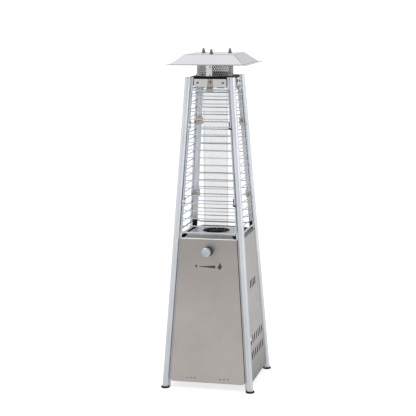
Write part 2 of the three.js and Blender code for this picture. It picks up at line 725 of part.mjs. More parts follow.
function returnSpring() {
  const { r, wireR, turns, front, back } = SPRING;
  const steps = turns * 10;
  const points = Array.from({ length: steps + 1 }, (_, i) => {
    const angle = (2 * Math.PI * turns * i) / steps;
    return [r * Math.cos(angle), front + ((back - front) * i) / steps, r * Math.sin(angle)];
  });
  return pipe(points, wireR, steps, 5);
}

function valveRotor() {
  const front = VALVE_FRONT + GAP;
  return turnedAlongDepth([
    [0, ROTOR_BACK], [ROTOR_R, ROTOR_BACK], [ROTOR_R, front], [ROTOR_BORE_R, front],
    [ROTOR_BORE_R, ROTOR_BORE_END], [0, ROTOR_BORE_END],
  ]);
}

function valveBody() {
  const stub = (x) => rod(5, -STUB_END, 1 - VALVE_HALF_Z).translate(x, STUB_DEPTH, 0);
  const block = box(-VALVE_HALF_X, VALVE_HALF_X, VALVE_FRONT, VALVE_BACK, -VALVE_HALF_Z, VALVE_HALF_Z);
  const bore = depthRod(ROTOR_R + 0.4, VALVE_FRONT - 1, ROTOR_BACK + 2 * GAP, LARGE_ROUND);
  return cut(join(block, stub(-STUB_X), stub(STUB_X)), bore);
}

// A channel behind the front panel that the valve is screwed to
function valveBracket() {
  const side = 30;
  const front = GAP - PANEL_PROUD + SHEET;
  const back = VALVE_FRONT - GAP - VALVE_SHEET - 0.4;
  const section = strip([[-side, front], [-side, back], [side, back], [side, front]], VALVE_SHEET);
  const spindleHole = depthRod(6.4, back - 2, back + 2, 20);
  return cut(raise(section, -20, 14), spindleHole);
}

// From the front side's own axes to the heater's
function fromFront(x, depth, length) {
  return [
    x,
    -FOOT_SPACING / 2 + depth * Math.cos(LEAN) + length * Math.sin(LEAN),
    -depth * Math.sin(LEAN) + length * Math.cos(LEAN),
  ];
}

function feedPipe() {
  const start = fromFront(STUB_X, STUB_DEPTH, along(KNOB_HEIGHT) - STUB_END - 0.8);
  const bend = [
    start, [STUB_X, start[1] + 3, start[2] - 30],
    [7, -42, 285], [3, -16, 264], [0, -2, 270], [0, 0, 296],
  ];
  const holder = turned([
    [0, 294], [4.6, 294], [4.6, 304], [8, 304], [8, 320], [5, 322], [2.4, 327], [0, 327],
  ], 12);
  return join(pipe(bend, 3, 18, 6), holder);
}

function inletPipe() {
  const start = fromFront(-STUB_X, STUB_DEPTH, along(KNOB_HEIGHT) - STUB_END - 0.8);
  const lean = (depth) => half(INLET_HEIGHT) - depth;
  const line = pipe([
    start, [-STUB_X, start[1] + 2, start[2] - 30], [-28, -40, 240], [-44, 20, 110],
    [-NOZZLE_X, 80, INLET_HEIGHT + 3], [-NOZZLE_X, lean(12), INLET_HEIGHT],
  ], 3.6, 20, 6);
  const nozzle = turnedAlongDepth([
    [0, 14], [6, 14], [6, 3], [10, 3], [10, -1.6], [NOZZLE_NECK_R, -1.6], [NOZZLE_NECK_R, -3.4],
    [9.5, -3.4], [9.5, -6.6], [4.6, -6.6], [4.6, -8], [5.4, -8.4], [4.4, -12.4], [2.6, -13],
    [2.6, -4], [0, -4],
  ], 12);
  nozzle.translate(NOZZLE_X, 0, along(INLET_HEIGHT)).rotateX(-LEAN);
  nozzle.translate(0, -FOOT_SPACING / 2, 0).rotateZ(2 * QUARTER);
  return join(line, nozzle);
}

// Assembly
SIDES.forEach((side, k) => {
  addPart(sideFrames[k], `${side}_panel`, panel(panelOpenings(side)), MATERIALS.brushed);
  addPart(sideFrames[k], `${side}_guard`, guard(), MATERIALS.wire);
  addPart(sideFrames[k], `${side}_top_bracket`, topBracket(), MATERIALS.stainless);
  addPart(sideFrames[k], `${side}_guard_hook`, guardHook(), MATERIALS.stainless);
});

CORNERS.forEach((corner, k) => {
  const frame = group(heater);
  frame.rotation.z = k * QUARTER;
  addPart(frame, `${corner}_leg`, leg(), MATERIALS.aluminium);
  addPart(frame, `${corner}_foot`, foot(), MATERIALS.black);
  CLIPS.forEach(({ name, bottom, top, rung }) => {
    const clip = guardClip(bottom, top, rungHeight(rung));
    addPart(frame, `${corner}_${name}_clip`, clip, MATERIALS.stainless);
  });
});

STUD_ANGLES.forEach((angle, i) => {
  addPart(heater, `hood_stud_${i + 1}`, atStud(hoodStud(), angle), MATERIALS.steel);
  addPart(heater, `hood_nut_${i + 1}`, atStud(hoodNut(), angle), MATERIALS.stainless);
});

addPart(heater, 'base_plate', basePlate(), MATERIALS.blackSteel);
addPart(heater, 'tilt_switch', tiltSwitch(), MATERIALS.black);
addPart(heater, 'burner_deck', burnerDeck(), MATERIALS.brushed);
addPart(heater, 'tube_seat_ring', seatRing(), MATERIALS.blackSteel);
addPart(heater, 'burner_head', burnerHead(), MATERIALS.blackSteel);
addPart(heater, 'burner_mixing_tube', mixingTube(), MATERIALS.steel);
addPart(heater, 'igniter_electrode', probe(PROBE_ANGLES[0], ELECTRODE), MATERIALS.ceramic);
addPart(heater, 'thermocouple', probe(PROBE_ANGLES[1], THERMOCOUPLE), MATERIALS.steel);
addPart(heater, 'glass_tube', glassTube(), MATERIALS.glass);
addPart(heater, 'tube_gasket', tubeGasket(), MATERIALS.black);
addPart(heater, 'top_plate', topPlate(), MATERIALS.blackSteel);
addPart(heater, 'flame_screen', flameScreen(), MATERIALS.screen);
addPart(heater, 'hood', hood(), MATERIALS.hood);
addPart(heater, 'jet_and_feed_pipe', feedPipe(), MATERIALS.brass);
addPart(heater, 'gas_inlet_pipe', inletPipe(), MATERIALS.brass);

const knobFrame = group(sideFrames[0]);
knobFrame.position.z = along(KNOB_HEIGHT);
addPart(knobFrame, 'valve_bracket', valveBracket(), MATERIALS.steel);
addPart(knobFrame, 'valve_body', valveBody(), MATERIALS.brass);
addPart(knobFrame, 'valve_rotor', valveRotor(), MATERIALS.brass);
addPart(knobFrame, 'valve_spindle', spindle(), MATERIALS.steel);
addPart(knobFrame, 'return_spring', returnSpring(), MATERIALS.steel);
addPart(knobFrame, 'knob_bezel', bezel(), MATERIALS.black);
addPart(knobFrame, 'control_knob', knob(), MATERIALS.stainless);

export default heater;
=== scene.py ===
# Looks of a free-standing outdoor heater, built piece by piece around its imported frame.
# Lengths are millimetres in the heater's frame (+Z up, knob side facing -Y); meshes are written in metres.
import json
import math

import bmesh
import bpy
from mathutils import Matrix, Vector
from mathutils.geometry import tessellate_polygon

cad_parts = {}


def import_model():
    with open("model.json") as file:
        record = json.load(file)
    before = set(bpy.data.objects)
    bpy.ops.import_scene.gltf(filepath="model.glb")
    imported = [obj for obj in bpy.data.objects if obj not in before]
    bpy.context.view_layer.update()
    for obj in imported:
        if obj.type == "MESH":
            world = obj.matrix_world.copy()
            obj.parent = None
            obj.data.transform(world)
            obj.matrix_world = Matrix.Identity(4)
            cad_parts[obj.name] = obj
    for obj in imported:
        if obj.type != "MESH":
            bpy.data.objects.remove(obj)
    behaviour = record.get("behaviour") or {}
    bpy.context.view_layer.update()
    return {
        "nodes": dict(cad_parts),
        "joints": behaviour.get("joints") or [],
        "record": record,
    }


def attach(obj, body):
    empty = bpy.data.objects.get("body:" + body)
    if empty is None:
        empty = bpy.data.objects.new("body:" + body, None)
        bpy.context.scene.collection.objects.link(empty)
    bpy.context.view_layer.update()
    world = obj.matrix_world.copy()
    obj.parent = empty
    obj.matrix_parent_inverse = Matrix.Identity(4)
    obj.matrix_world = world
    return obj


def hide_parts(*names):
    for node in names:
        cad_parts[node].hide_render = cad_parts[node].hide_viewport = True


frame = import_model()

MM = 0.001
QUARTER = math.pi / 2
FULL = 2 * math.pi
SIDES = ("front", "right", "back", "left")
CORNERS = ("front_right", "back_right", "back_left", "front_left")
FIXED = "heater_frame"

# Sizes that the pieces share
SHEET = 1.0
GAP = 0.3
NOSE_R = 8.5
NOSE_BORE_R = 6.7
FLANGE_REACH = 14.5
FLANGE_FRONT = 1.2
FLANGE_THICK = 1.8
FOLD_SHEET = 1.2  # clips and hooks
WIRE_FRONT = -4.6  # middle of a clip's or hook's sheet in front of a wire
SCREW_HEAD_R = 4.4
TOP_PLATE_TOP = 857.0
STUD_ANGLES = (-90, 30, 150)
STUD_CIRCLE_R = 43.0
STUD_HOLE_R = 2.9
LARGE_ROUND = 72


# Places
def joint(name):
    return next(j for j in frame["joints"] if j["name"] == name)


def mount(name):
    return next(m for m in frame["record"]["mounts"] if m["name"] == name)


HALF_SPACING = mount("foot_front_right")["pos_m"][0] / MM
LEAN = math.asin(joint("control_turn")["axis"][2])
SLOPE = math.tan(LEAN)


def side_frame(index):
    """The leaning frame of a side: x across it, y inwards from the leg axes, z up its slope."""
    turn = Matrix.Rotation(index * QUARTER, 4, "Z")
    return turn @ Matrix.Translation((0, -HALF_SPACING, 0)) @ Matrix.Rotation(-LEAN, 4, "X")


def corner_frame(index):
    """The frame of a leg: upright sections around the leg's axis, sheared to follow its lean."""
    shear = Matrix((
        (1, 0, -SLOPE, HALF_SPACING),
        (0, 1, SLOPE, -HALF_SPACING),
        (0, 0, 1, 0),
        (0, 0, 0, 1),
    ))
    return Matrix.Rotation(index * QUARTER, 4, "Z") @ shear


def extent(node, place=Matrix()):
    """Lowest and highest corner of a CAD node, in the frame that place sets."""
    back = place.inverted()
    points = [back @ (vertex.co / MM) for vertex in frame["nodes"][node].data.vertices]
    low = Vector([min(point[i] for point in points) for i in range(3)])
    high = Vector([max(point[i] for point in points) for i in range(3)])
    return low, high


def half(height):
    """From the centre to a leg's axis at a height."""
    return HALF_SPACING - SLOPE * height


def along(height):
    """A height as a length up a leaning side."""
    return height / math.cos(LEAN)


FACING = Matrix(((1, 0, 0, 0), (0, 0, 1, 0), (0, 1, 0, 0), (0, 0, 0, 1)))  # x and z drawn, y thick
OUTWARD = Matrix.Rotation(QUARTER, 4, "X")  # local z points out of the side, against y


def at(x=0.0, y=0.0, z=0.0):
    return Matrix.Translation((x, y, z))


# Outlines
HOLD = 0.12  # from the end of a bend to the point that keeps smooth shading off the flat beside it


def arc(radius, start, end, steps, x=0.0, y=0.0):
    angles = [start + (end - start) * i / steps for i in range(steps + 1)]
    return [(x + radius * math.cos(a), y + radius * math.sin(a)) for a in angles]


def circle(radius, steps=32, x=0.0, y=0.0):
    return arc(radius, 0, FULL, steps, x, y)[:-1]


def rounded(points, radius, closed=True, steps=4):
    """The same outline with its corners turned into arcs; radius is one number or one for each point."""
    radii = radius if isinstance(radius, (list, tuple)) else [radius] * len(points)
    made = []
    for i, (point, r) in enumerate(zip(points, radii)):
        here = Vector(point)
        if r == 0 or (not closed and i in (0, len(points) - 1)):
            made.append(tuple(here))
            continue
        before = (Vector(points[i - 1]) - here).normalized()
        after = (Vector(points[(i + 1) % len(points)]) - here).normalized()
        spread = before.angle(after) / 2
        hold = r / math.tan(spread) + HOLD
        centre = here + (before + after).normalized() * r / math.sin(spread)
        start = here + before * r / math.tan(spread) - centre
        end = here + after * r / math.tan(spread) - centre
        swing = start.angle_signed(end)
        first = math.atan2(start.y, start.x)
        turn = arc(r, first, first - swing, steps, centre.x, centre.y)
        made += turn if closed else [tuple(here + before * hold), *turn, tuple(here + after * hold)]
    return made


def braced(points, closed=True):
    """The same outline with a point beside each end of every long straight stretch."""
    made = []
    count = len(points)
    for i, point in enumerate(points):
        made.append(point)
        here = Vector(point)
        stretch = Vector(points[(i + 1) % count]) - here
        if stretch.length > 2 and (closed or i < count - 1):
            step = stretch.normalized() * HOLD
            made += [tuple(here + step), tuple(here + stretch - step)]
    return made


def offset(points, distance, closed=True):
    """The outline moved to its left side, which is inwards for one drawn anticlockwise."""
    line = [Vector(point) for point in points]
    count = len(line)
    sides = []
    for i in range(count if closed else count - 1):
        along_side = (line[(i + 1) % count] - line[i]).normalized()
        sides.append(Vector((-along_side.y, along_side.x)))
    moved = []
    for i, point in enumerate(line):
        before = sides[i - 1] if closed or i > 0 else sides[0]
        after = sides[i] if i < len(sides) else sides[-1]
        middle = (before + after).normalized()
        moved.append(tuple(point + middle * distance / middle.dot(before)))
    return moved


def strip(points, thickness, radius=0.0):
    """The outline of a folded strip, from its middle line."""
    line = rounded(points, radius, closed=False) if radius else points
    left = offset(line, thickness / 2, closed=False)
    right = offset(line, -thickness / 2, closed=False)
    return right + left[::-1]


def square(size, corner, steps=5):
    return rounded([(-size, -size), (size, -size), (size, size), (-size, size)], corner, steps=steps)


def inset_of(points):
    """The outline as a function of how far it is drawn in."""
    return lambda inset: offset(points, inset)


# Solids
class Solid:
    """Closed surfaces gathered into one mesh. Shapes are drawn in the frame that place sets."""

    def __init__(self, place=Matrix()):
        self.mesh = bmesh.new()
        self.place = place
        self.paint = 0

    def ring(self, points):
        return [self.mesh.verts.new(self.place @ Vector(point)) for point in points]

    def face(self, corners):
        self.mesh.faces.new(corners).material_index = self.paint

    def bridge(self, first, second):
        """Joins two rings; a ring of one point gives triangles."""
        for i in range(max(len(first), len(second))):
            j = i + 1
            corners = (first[i % len(first)], first[j % len(first)],
                       second[j % len(second)], second[i % len(second)])
            self.face(list(dict.fromkeys(corners)))

    def fill(self, outer, *holes):
        if not holes:
            self.face(outer)
            return
        loops = [outer, *holes]
        corners = [corner for loop in loops for corner in loop]
        for triangle in tessellate_polygon([[corner.co for corner in loop] for loop in loops]):
            self.face([corners[i] for i in triangle])

    def loft(self, rings, closed=False):
        made = [self.ring(points) for points in rings]
        following = made[1:] + made[:1] if closed else made[1:]
        for first, second in zip(made, following):
            self.bridge(first, second)
        for end in () if closed else (made[0], made[-1]):
            if len(end) > 2:
                self.fill(end)

    def sheet(self, loops):
        """Sheet metal with folds and holes. Each loop is (outline by inset, [(inset, height), ...]), from
        the face on one side of the sheet to the face on the other; the first loop is the outside."""
        faces = ([], [])
        for outline, profile in loops:
            profile = braced(profile, closed=False)
            made = [self.ring([(*point, height) for point in outline(inset)]) for inset, height in profile]
            for first, second in zip(made, made[1:]):
                self.bridge(first, second)
            faces[0].append(made[0])
            faces[1].append(made[-1])
        for face in faces:
            self.fill(*face)

    def slab(self, outline, low, high, edge=0.3, holes=()):
        """A flat plate between two heights, with softened edges."""
        self.sheet([
            (inset_of(outline), soft_edge(low, high, edge)),
            *((inset_of(hole), soft_edge(low, high, edge, -1)) for hole in holes),
        ])

    def repaint(self, paint, test):
        """Gives another finish to the faces whose middle, in the frame of the drawing, passes a test."""
        back = self.place.inverted()
        for face in self.mesh.faces:
            if test(back @ face.calc_center_median()):
                face.material_index = paint

    def revolve(self, profile, segments=48):
        """A profile of (radius, height) turned about local z, closed unless it starts on the axis."""
        closed = profile[0][0] > 0
        rings = []
        for radius, height in braced(profile, closed):
            count = segments if radius > 0 else 1
            rings.append([(*point, height) for point in circle(radius, segments)[:count]])
        self.loft(rings, closed)

    def sweep(self, path, radius, sides=12, closed=False, up=None):
        """A round wire along a path."""
        points = [Vector(point) for point in path]
        last = len(points) - 1
        normal = Vector(up) if up else None
        rings = []
        for i, point in enumerate(points):
            after = points[(i + 1) % len(points)] if closed else points[min(i + 1, last)]
            before = points[i - 1] if closed else points[max(i - 1, 0)]
            tangent = (after - before).normalized()
            normal = normal or tangent.orthogonal()
            normal = (normal - tangent * normal.dot(tangent)).normalized()
            side = tangent.cross(normal)
            rings.append([point + normal * u + side * v for u, v in circle(radius, sides)])
        self.loft(rings, closed)


def soft_edge(low, high, edge, way=1):
    """The edge of a plate as (inset, height): a band beside each rounded edge keeps the faces flat."""
    band = edge + HOLD
    corner = 0.3 * edge
    rise = [(band, 0), (edge, 0), (corner, corner), (0, edge)]
    lower = [(way * inset, low + height) for inset, height in rise]
    upper = [(way * inset, high - height) for inset, height in rise]
    return lower + upper[::-1]


def hole_edge(face, back):
    """The edge of a hole through a sheet as (inset, height), softened at both faces."""
    lip = 0.3
    step = math.copysign(lip, back - face)
    band = -lip - 0.2
    return [(band, face), (-lip, face), (0, face + step), (0, back - step), (-lip, back), (band, back)]


def folded_rim(face, end, bend, thick, steps=5, band=0.4):
    """The rim of a tray as (inset, height): from its face round the bend to the rim's end, and back."""
    way = math.copysign(1, end - face)
    outer = [(bend - x, face + way * (bend - y)) for x, y in arc(bend, QUARTER, 0, steps)]
    inner = [(bend - x, face + way * (bend - y)) for x, y in arc(bend - thick, 0, QUARTER, steps)]
    flat = bend + band
    return [(flat, face), *outer, (0, end), (thick, end), *inner, (flat, face + way * thick)]


def grooved_ring(radius, height, count, period, cut=0.0, shift=0):
    """A ring of points that is cut back by half of every period, for the grooves of a lofted side."""
    made = []
    for i, (x, y) in enumerate(circle(radius, count)):
        scale = 1 - (cut / radius if (i - shift) % period < period // 2 else 0)
        made.append((x * scale, y * scale, height))
    return made


def piece(name, solid, material, nodes=(), body=FIXED, sharp=32):
    """Turns a solid into an object of the scene that moves with a body and stands for CAD nodes."""
    bm = solid.mesh
    bmesh.ops.scale(bm, vec=(MM, MM, MM), verts=bm.verts)
    bmesh.ops.recalc_face_normals(bm, faces=bm.faces)
    mesh = bpy.data.meshes.new(name)
    bm.to_mesh(mesh)
    bm.free()
    mesh.shade_smooth()
    mesh.set_sharp_from_angle(angle=math.radians(sharp))
    for finish in material if isinstance(material, (list, tuple)) else [material]:
        mesh.materials.append(finish)
    made = bpy.data.objects.new(name, mesh)
    bpy.context.scene.collection.objects.link(made)
    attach(made, body)
    if nodes:
        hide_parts(*nodes)
    return made


# Materials
def rgb(red, green, blue):
    """A colour in display values from 0 to 255, as linear light."""
    def linear(value):
        share = value / 255
        return share / 12.92 if share <= 0.04045 else ((share + 0.055) / 1.055) ** 2.4
    return (linear(red), linear(green), linear(blue), 1.0)


def scaled(colour, factor):
    """A colour made lighter or darker, up to white."""
    return tuple(min(1.0, channel * factor) for channel in colour[:3]) + (1.0,)


class NodeTree:
    """The nodes of a material or a world, and short ways to add to them."""

    def __init__(self, owner):
        owner.use_nodes = True
        self.nodes = owner.node_tree.nodes
        self.links = owner.node_tree.links

    def plug(self, socket, value):
        if isinstance(value, bpy.types.NodeSocket):
            self.links.new(value, socket)
        else:
            socket.default_value = value

    def add(self, kind, values, **settings):
        node = self.nodes.new("ShaderNode" + kind)
        for name, value in settings.items():
            setattr(node, name, value)
        for name, value in values.items():
            self.plug(node.inputs[name], value)
        return node.outputs[0]

    def between(self, value, low, high, start=0.3, end=0.7, **settings):
        values = {"Value": value, "From Min": start, "From Max": end, "To Min": low, "To Max": high}
        return self.add("MapRange", values, **settings)

    def dot(self, first, second):
        values = {0: first, 1: second}
        return self.add("VectorMath", values, operation="DOT_PRODUCT").node.outputs["Value"]


class Finish(NodeTree):
    """A material with the heater's frame for its texture space."""

    def __init__(self, name, **sockets):
        self.material = bpy.data.materials.new(name)
        super().__init__(self.material)
        self.shader = self.nodes["Principled BSDF"]
        self.place = self.nodes.new("ShaderNodeTexCoord").outputs["Object"]
        self.set(**sockets)

    def set(self, **sockets):
        """Shader sockets by name, with _ for a space: a number or colour is set, an output is linked."""
        for name, value in sockets.items():
            self.plug(self.shader.inputs[name.replace("_", " ")], value)

    def noise(self, scale, detail=3.0):
        """Noise whose scale is one number or one for each axis, in cycles per metre."""
        axes = scale if isinstance(scale, tuple) else (scale,) * 3
        place = self.add("Mapping", {"Vector": self.place, "Scale": axes})
        values = {"Vector": place, "Scale": 1.0, "Detail": detail, "Roughness": 0.6}
        return self.add("TexNoise", values)

    def times(self, colour, *factors):
        for factor in factors:
            values = {"Fac": 1.0, "Color1": colour, "Color2": factor}
            colour = self.add("MixRGB", values, blend_type="MULTIPLY")
        return colour

    def mix(self, factor, first, second):
        return self.add("MixRGB", {"Fac": factor, "Color1": first, "Color2": second})

    def bump(self, height, depth):
        return self.add("Bump", {"Height": height, "Distance": depth, "Strength": 1.0})

    def axis(self, name):
        """The place along one axis of the heater's frame, in metres."""
        return self.add("SeparateXYZ", {0: self.place}).node.outputs[name]

    def edges(self, width):
        """0 on flat stretches, rising to 1 along sharp edges within a width in metres."""
        bevel = self.add("Bevel", {"Radius": width}, samples=4)
        plain = self.nodes.new("ShaderNodeNewGeometry").outputs["Normal"]
        return self.between(self.dot(bevel, plain), 1.0, 0.0, 0.85, 0.99)


UP_GRAIN = (1400.0, 1400.0, 26.0)
LEG_GRAIN = (500.0, 500.0, 8.0)
ALL_GRAIN = (900.0, 900.0, 900.0)
LEVEL_GRAIN = (30.0, 1300.0, 1300.0)


def brushed_metal(name, colour, roughness, grain=ALL_GRAIN, shade=0.1, cloud=0.06, painted_edge_light=0.0, edge=0.0009,
                  tint_and_painted_shade=None):
    """Metal with a directional grain, faint clouds of lighter and darker finish, a painted highlight along
    its edges (painted shade there, below 0), and painted shade between two heights (strength, from height,
    to height, share of the colour)."""
    made = Finish(name, Metallic=1.0)
    lines = made.noise(grain, detail=4.0)
    clouds = made.noise(9.0, detail=2.0)
    smudges = made.noise(28.0, detail=4.0)
    tone = made.times(
        colour,
        made.between(lines, 1 - shade, 1 + shade),
        made.between(clouds, 1 - cloud, 1 + cloud),
    )
    # painted shade: the colour goes towards a share of itself between two heights
    if tint_and_painted_shade:
        strength, start, end, share = tint_and_painted_shade
        depth = made.between(made.axis("Z"), 0.0, strength, start, end)
        tone = made.mix(depth, tone, scaled(colour, share))
    # painted highlight along sharp edges; a setting below 0 paints shade there
    if painted_edge_light:
        tone = made.mix(made.edges(edge), tone, scaled(colour, 1 + painted_edge_light))
    made.set(
        Base_Color=tone,
        Roughness=made.add("Math", {
            0: made.between(lines, roughness - 0.05, roughness + 0.05),
            1: made.between(smudges, -0.03, 0.03),
        }, operation="ADD"),
        Normal=made.bump(lines, 4e-6),
    )
    return made.material


def painted(name, colour, roughness, relief=2e-5, dust=0.1, shine=0.5):
    """Paint or moulded plastic: a fine surface texture, uneven gloss and a little dust."""
    made = Finish(name, Specular_IOR_Level=shine)
    fine = made.noise(420.0, detail=2.0)
    wide = made.noise(16.0, detail=4.0)
    pale = tuple(channel + 0.05 for channel in colour[:3]) + (1.0,)
    made.set(
        Base_Color=made.mix(made.between(wide, 0.0, dust, 0.45, 0.75), colour, pale),
        Roughness=made.between(wide, roughness - 0.06, roughness + 0.06),
        Normal=made.bump(fine, relief),
    )
    return made.material


def clear_glass(name):
    """Clear glass as a faint shade that deepens where the wall turns away from the eye."""
    made = Finish(name, Base_Color=rgb(66, 66, 68), Specular_IOR_Level=0.3)
    turned = made.add("LayerWeight", {"Blend": 0.35}).node.outputs["Facing"]
    haze = made.noise((40.0, 40.0, 6.0), detail=3.0)
    veil = made.add("Math", {
        0: made.between(turned, 0.09, 0.36, 0.4, 1.0),
        1: made.between(haze, 0.97, 1.05),
    }, operation="MULTIPLY")
    made.set(Alpha=veil, Roughness=made.between(haze, 0.04, 0.1, 0.45, 0.8))
    return made.material


def heat_tinted_and_shaded_steel(name, colour, roughness, mark=1.0):
    """Stainless steel above the flame: straw and brown heat tints in soft bands, and painted shade in a
    darker patch right of the middle, where the colour is multiplied by mark."""
    made = Finish(name, Metallic=1.0)
    bands = made.noise((14.0, 14.0, 22.0), detail=2.0)
    grain = made.noise((700.0, 700.0, 90.0), detail=3.0)
    tint_and_painted_shade = tuple(c * f for c, f in zip(colour[:3], (0.72, 0.66, 0.6))) + (1.0,)
    # painted shade: the colour darkens near x = 20 mm, by mark
    away = made.add("Math", {0: made.axis("X"), 1: 0.020}, operation="SUBTRACT")
    away = made.add("Math", {0: away}, operation="ABSOLUTE")
    made.set(
        Base_Color=made.times(
            made.mix(made.between(bands, 0.0, 0.8, 0.42, 0.68), colour, tint_and_painted_shade),
            made.between(grain, 0.9, 1.1),
            made.between(away, mark, 1.0, 0.015, 0.034),
        ),
        Roughness=made.between(grain, roughness - 0.05, roughness + 0.06),
        Normal=made.bump(grain, 6e-6),
    )
    return made.material


# painted shade: the side panels darken towards the bottom
# the metals below with an edge-light setting get a painted highlight along their sharp edges; below 0 it
# paints shade there
PANEL_STEEL = brushed_metal("panel_steel", rgb(152, 150, 148), 0.42, UP_GRAIN, shade=0.06, cloud=0.05,
                            painted_edge_light=0.25, tint_and_painted_shade=(1.0, 0.14, 0.02, 0.45))
# painted shade: the front panel darkens towards its top; its steel is a lighter copy of the side panels'
# steel
FRONT_STEEL = brushed_metal("front_steel", rgb(169, 164, 160), 0.42, UP_GRAIN, shade=0.06, cloud=0.05,
                            painted_edge_light=0.25, tint_and_painted_shade=(0.38, 0.2, 0.42, 0.55))
# painted highlight on the front panel's top fold
FOLD_HIGHLIGHT = brushed_metal("fold_painted_highlight", rgb(222, 221, 220), 0.5, LEVEL_GRAIN, shade=0.05)
# painted shade: a dark copy of the steel for the inner faces of the panels, deck and flame screen
INSIDE_SHADE = brushed_metal("inside_painted_shade", rgb(60, 58, 56), 0.7)
DECK_STEEL = brushed_metal("deck_steel", rgb(178, 178, 178), 0.34, LEVEL_GRAIN, painted_edge_light=0.2)
# painted shade: the legs darken towards the bottom
LEG_ALUMINIUM = brushed_metal("leg_aluminium", rgb(201, 204, 208), 0.5, LEG_GRAIN, shade=0.03, painted_edge_light=0.1,
                              tint_and_painted_shade=(0.45, 0.5, 0.05, 0.72))
# a lighter copy of the leg's finish, with painted shade that turns it dark from just above the burner deck
# down
LEG_HOLLOW_SHADING = brushed_metal("leg_hollow_painted_shading", rgb(222, 223, 225), 0.6, LEG_GRAIN, shade=0.03,
                           tint_and_painted_shade=(0.97, 0.448, 0.437, 0.03))
GUARD_WIRE = brushed_metal("guard_wire", rgb(180, 189, 198), 0.38, shade=0.06, cloud=0.05)
BRACKET_STEEL = brushed_metal("bracket_steel", rgb(212, 212, 212), 0.36, LEVEL_GRAIN, painted_edge_light=0.2)
CLIP_STEEL = brushed_metal("clip_steel", rgb(170, 162, 154), 0.4, painted_edge_light=0.1)
SCREW_STEEL = brushed_metal("screw_steel", rgb(176, 174, 172), 0.26, shade=0.08)
DARK_SCREW = brushed_metal("dark_screw", rgb(118, 114, 111), 0.24, shade=0.1, painted_edge_light=0.4)
PLAIN_STEEL = brushed_metal("plain_steel", rgb(168, 170, 173), 0.4, shade=0.12)
# painted shade along the hood's edges (edge setting below 0)
HOOD_STEEL = brushed_metal("hood_steel", rgb(200, 201, 204), 0.38, shade=0.04, cloud=0.03,
                           painted_edge_light=-0.6, edge=0.005)
# painted shade: a darker copy of the hood's steel along its folds and hips
HOOD_FOLD_SHADE = brushed_metal("hood_fold_shade", rgb(142, 143, 146), 0.4, shade=0.04)
BRASS = brushed_metal("brass", rgb(196, 160, 96), 0.34, shade=0.1, cloud=0.12)
KNOB_CHROME = brushed_metal("knob_chrome", rgb(176, 183, 190), 0.3, shade=0.05, painted_edge_light=0.15)
KNOB_SIDE = brushed_metal("knob_side", rgb(112, 107, 102), 0.34, shade=0.15)
# painted shade: a darker patch right of the middle of the flame screen (mark 0.4)
SCREEN_STEEL = heat_tinted_and_shaded_steel("screen_steel", rgb(170, 166, 163), 0.26, mark=0.4)
SEAM_STEEL = brushed_metal("seam_steel", rgb(212, 212, 212), 0.36, shade=0.06)
# painted shade: the burner is near black so the base of the tube reads dark
BURNER_SHADE = heat_tinted_and_shaded_steel("burner_painted_shade", rgb(14, 13, 13), 0.7)
# black paint; on the tube's seat ring it is painted shade
BLACK_PAINT_AND_SHADE = painted("black_paint_and_shade", rgb(12, 11, 12), 0.55, relief=4e-5, dust=0.02, shine=0.15)
BLACK_PLASTIC = painted("black_plastic", rgb(40, 38, 37), 0.5, dust=0.1)
# painted shade on the front-right clips' arms
CLIP_ARM_SHADE = painted("clip_arm_painted_shade", rgb(44, 40, 38), 0.55, dust=0.05)
FOOT_PLASTIC = painted("foot_plastic", rgb(3, 3, 3), 0.35, relief=1e-5, dust=0.0, shine=0.15)
RUBBER = painted("gasket_rubber", rgb(46, 44, 43), 0.8, relief=6e-5)
CERAMIC = painted("ceramic", rgb(120, 112, 104), 0.4, relief=1e-5)
MARK_INK = painted("mark_ink", rgb(48, 46, 45), 0.6, relief=1e-5)
TUBE_GLASS = clear_glass("tube_glass")


# Legs and feet
def leg(index, corner):
    """A hollow round nose with two flanges; the faces between the flanges get a lighter copy of the leg's
    finish, with painted shade from just above the burner deck down.
    """
    solid = Solid(corner_frame(index))
    low, high = extent(f"{corner}_leg")
    back = FLANGE_FRONT + FLANGE_THICK
    tip_r = FLANGE_THICK / 2
    middle = FLANGE_FRONT + tip_r
    at_front = math.asin(FLANGE_FRONT / NOSE_R)
    at_back = math.asin(back / NOSE_R)
    outline = [
        *arc(tip_r, 0, math.pi, 6, -middle, FLANGE_REACH - tip_r),
        *arc(NOSE_R, QUARTER + at_back, math.pi - at_back, 6),
        *arc(tip_r, QUARTER, 3 * QUARTER, 6, tip_r - FLANGE_REACH, middle),
        *arc(NOSE_R, math.pi - at_front, 5 * QUARTER + at_front, 44),
    ]
    solid.slab(braced(outline), low.z, high.z, edge=0.35, holes=[circle(NOSE_BORE_R, 32)])
    # the faces between the flanges: lighter finish with painted shade low down
    solid.repaint(1, lambda spot: spot.y > back - 0.1 and spot.x < 0.1 - back)
    finishes = [LEG_ALUMINIUM, LEG_HOLLOW_SHADING]
    piece(f"{corner}_leg_extrusion", solid, finishes, [f"{corner}_leg"])


def foot(index, corner):
    """A round cap with a plug that sits in the leg's nose."""
    solid = Solid(corner_frame(index))
    radius = 12.3
    height = 4.5
    plug_r = NOSE_BORE_R - 1
    plug_top = 20
    profile = [(0, 0), (radius, 0), (radius, height), (plug_r, height), (plug_r, plug_top), (0, plug_top)]
    solid.revolve(rounded(profile, [0, 1.5, 1.3, 0.5, 1, 0], steps=5))
    piece(f"{corner}_foot_cap", solid, FOOT_PLASTIC, [f"{corner}_foot"])


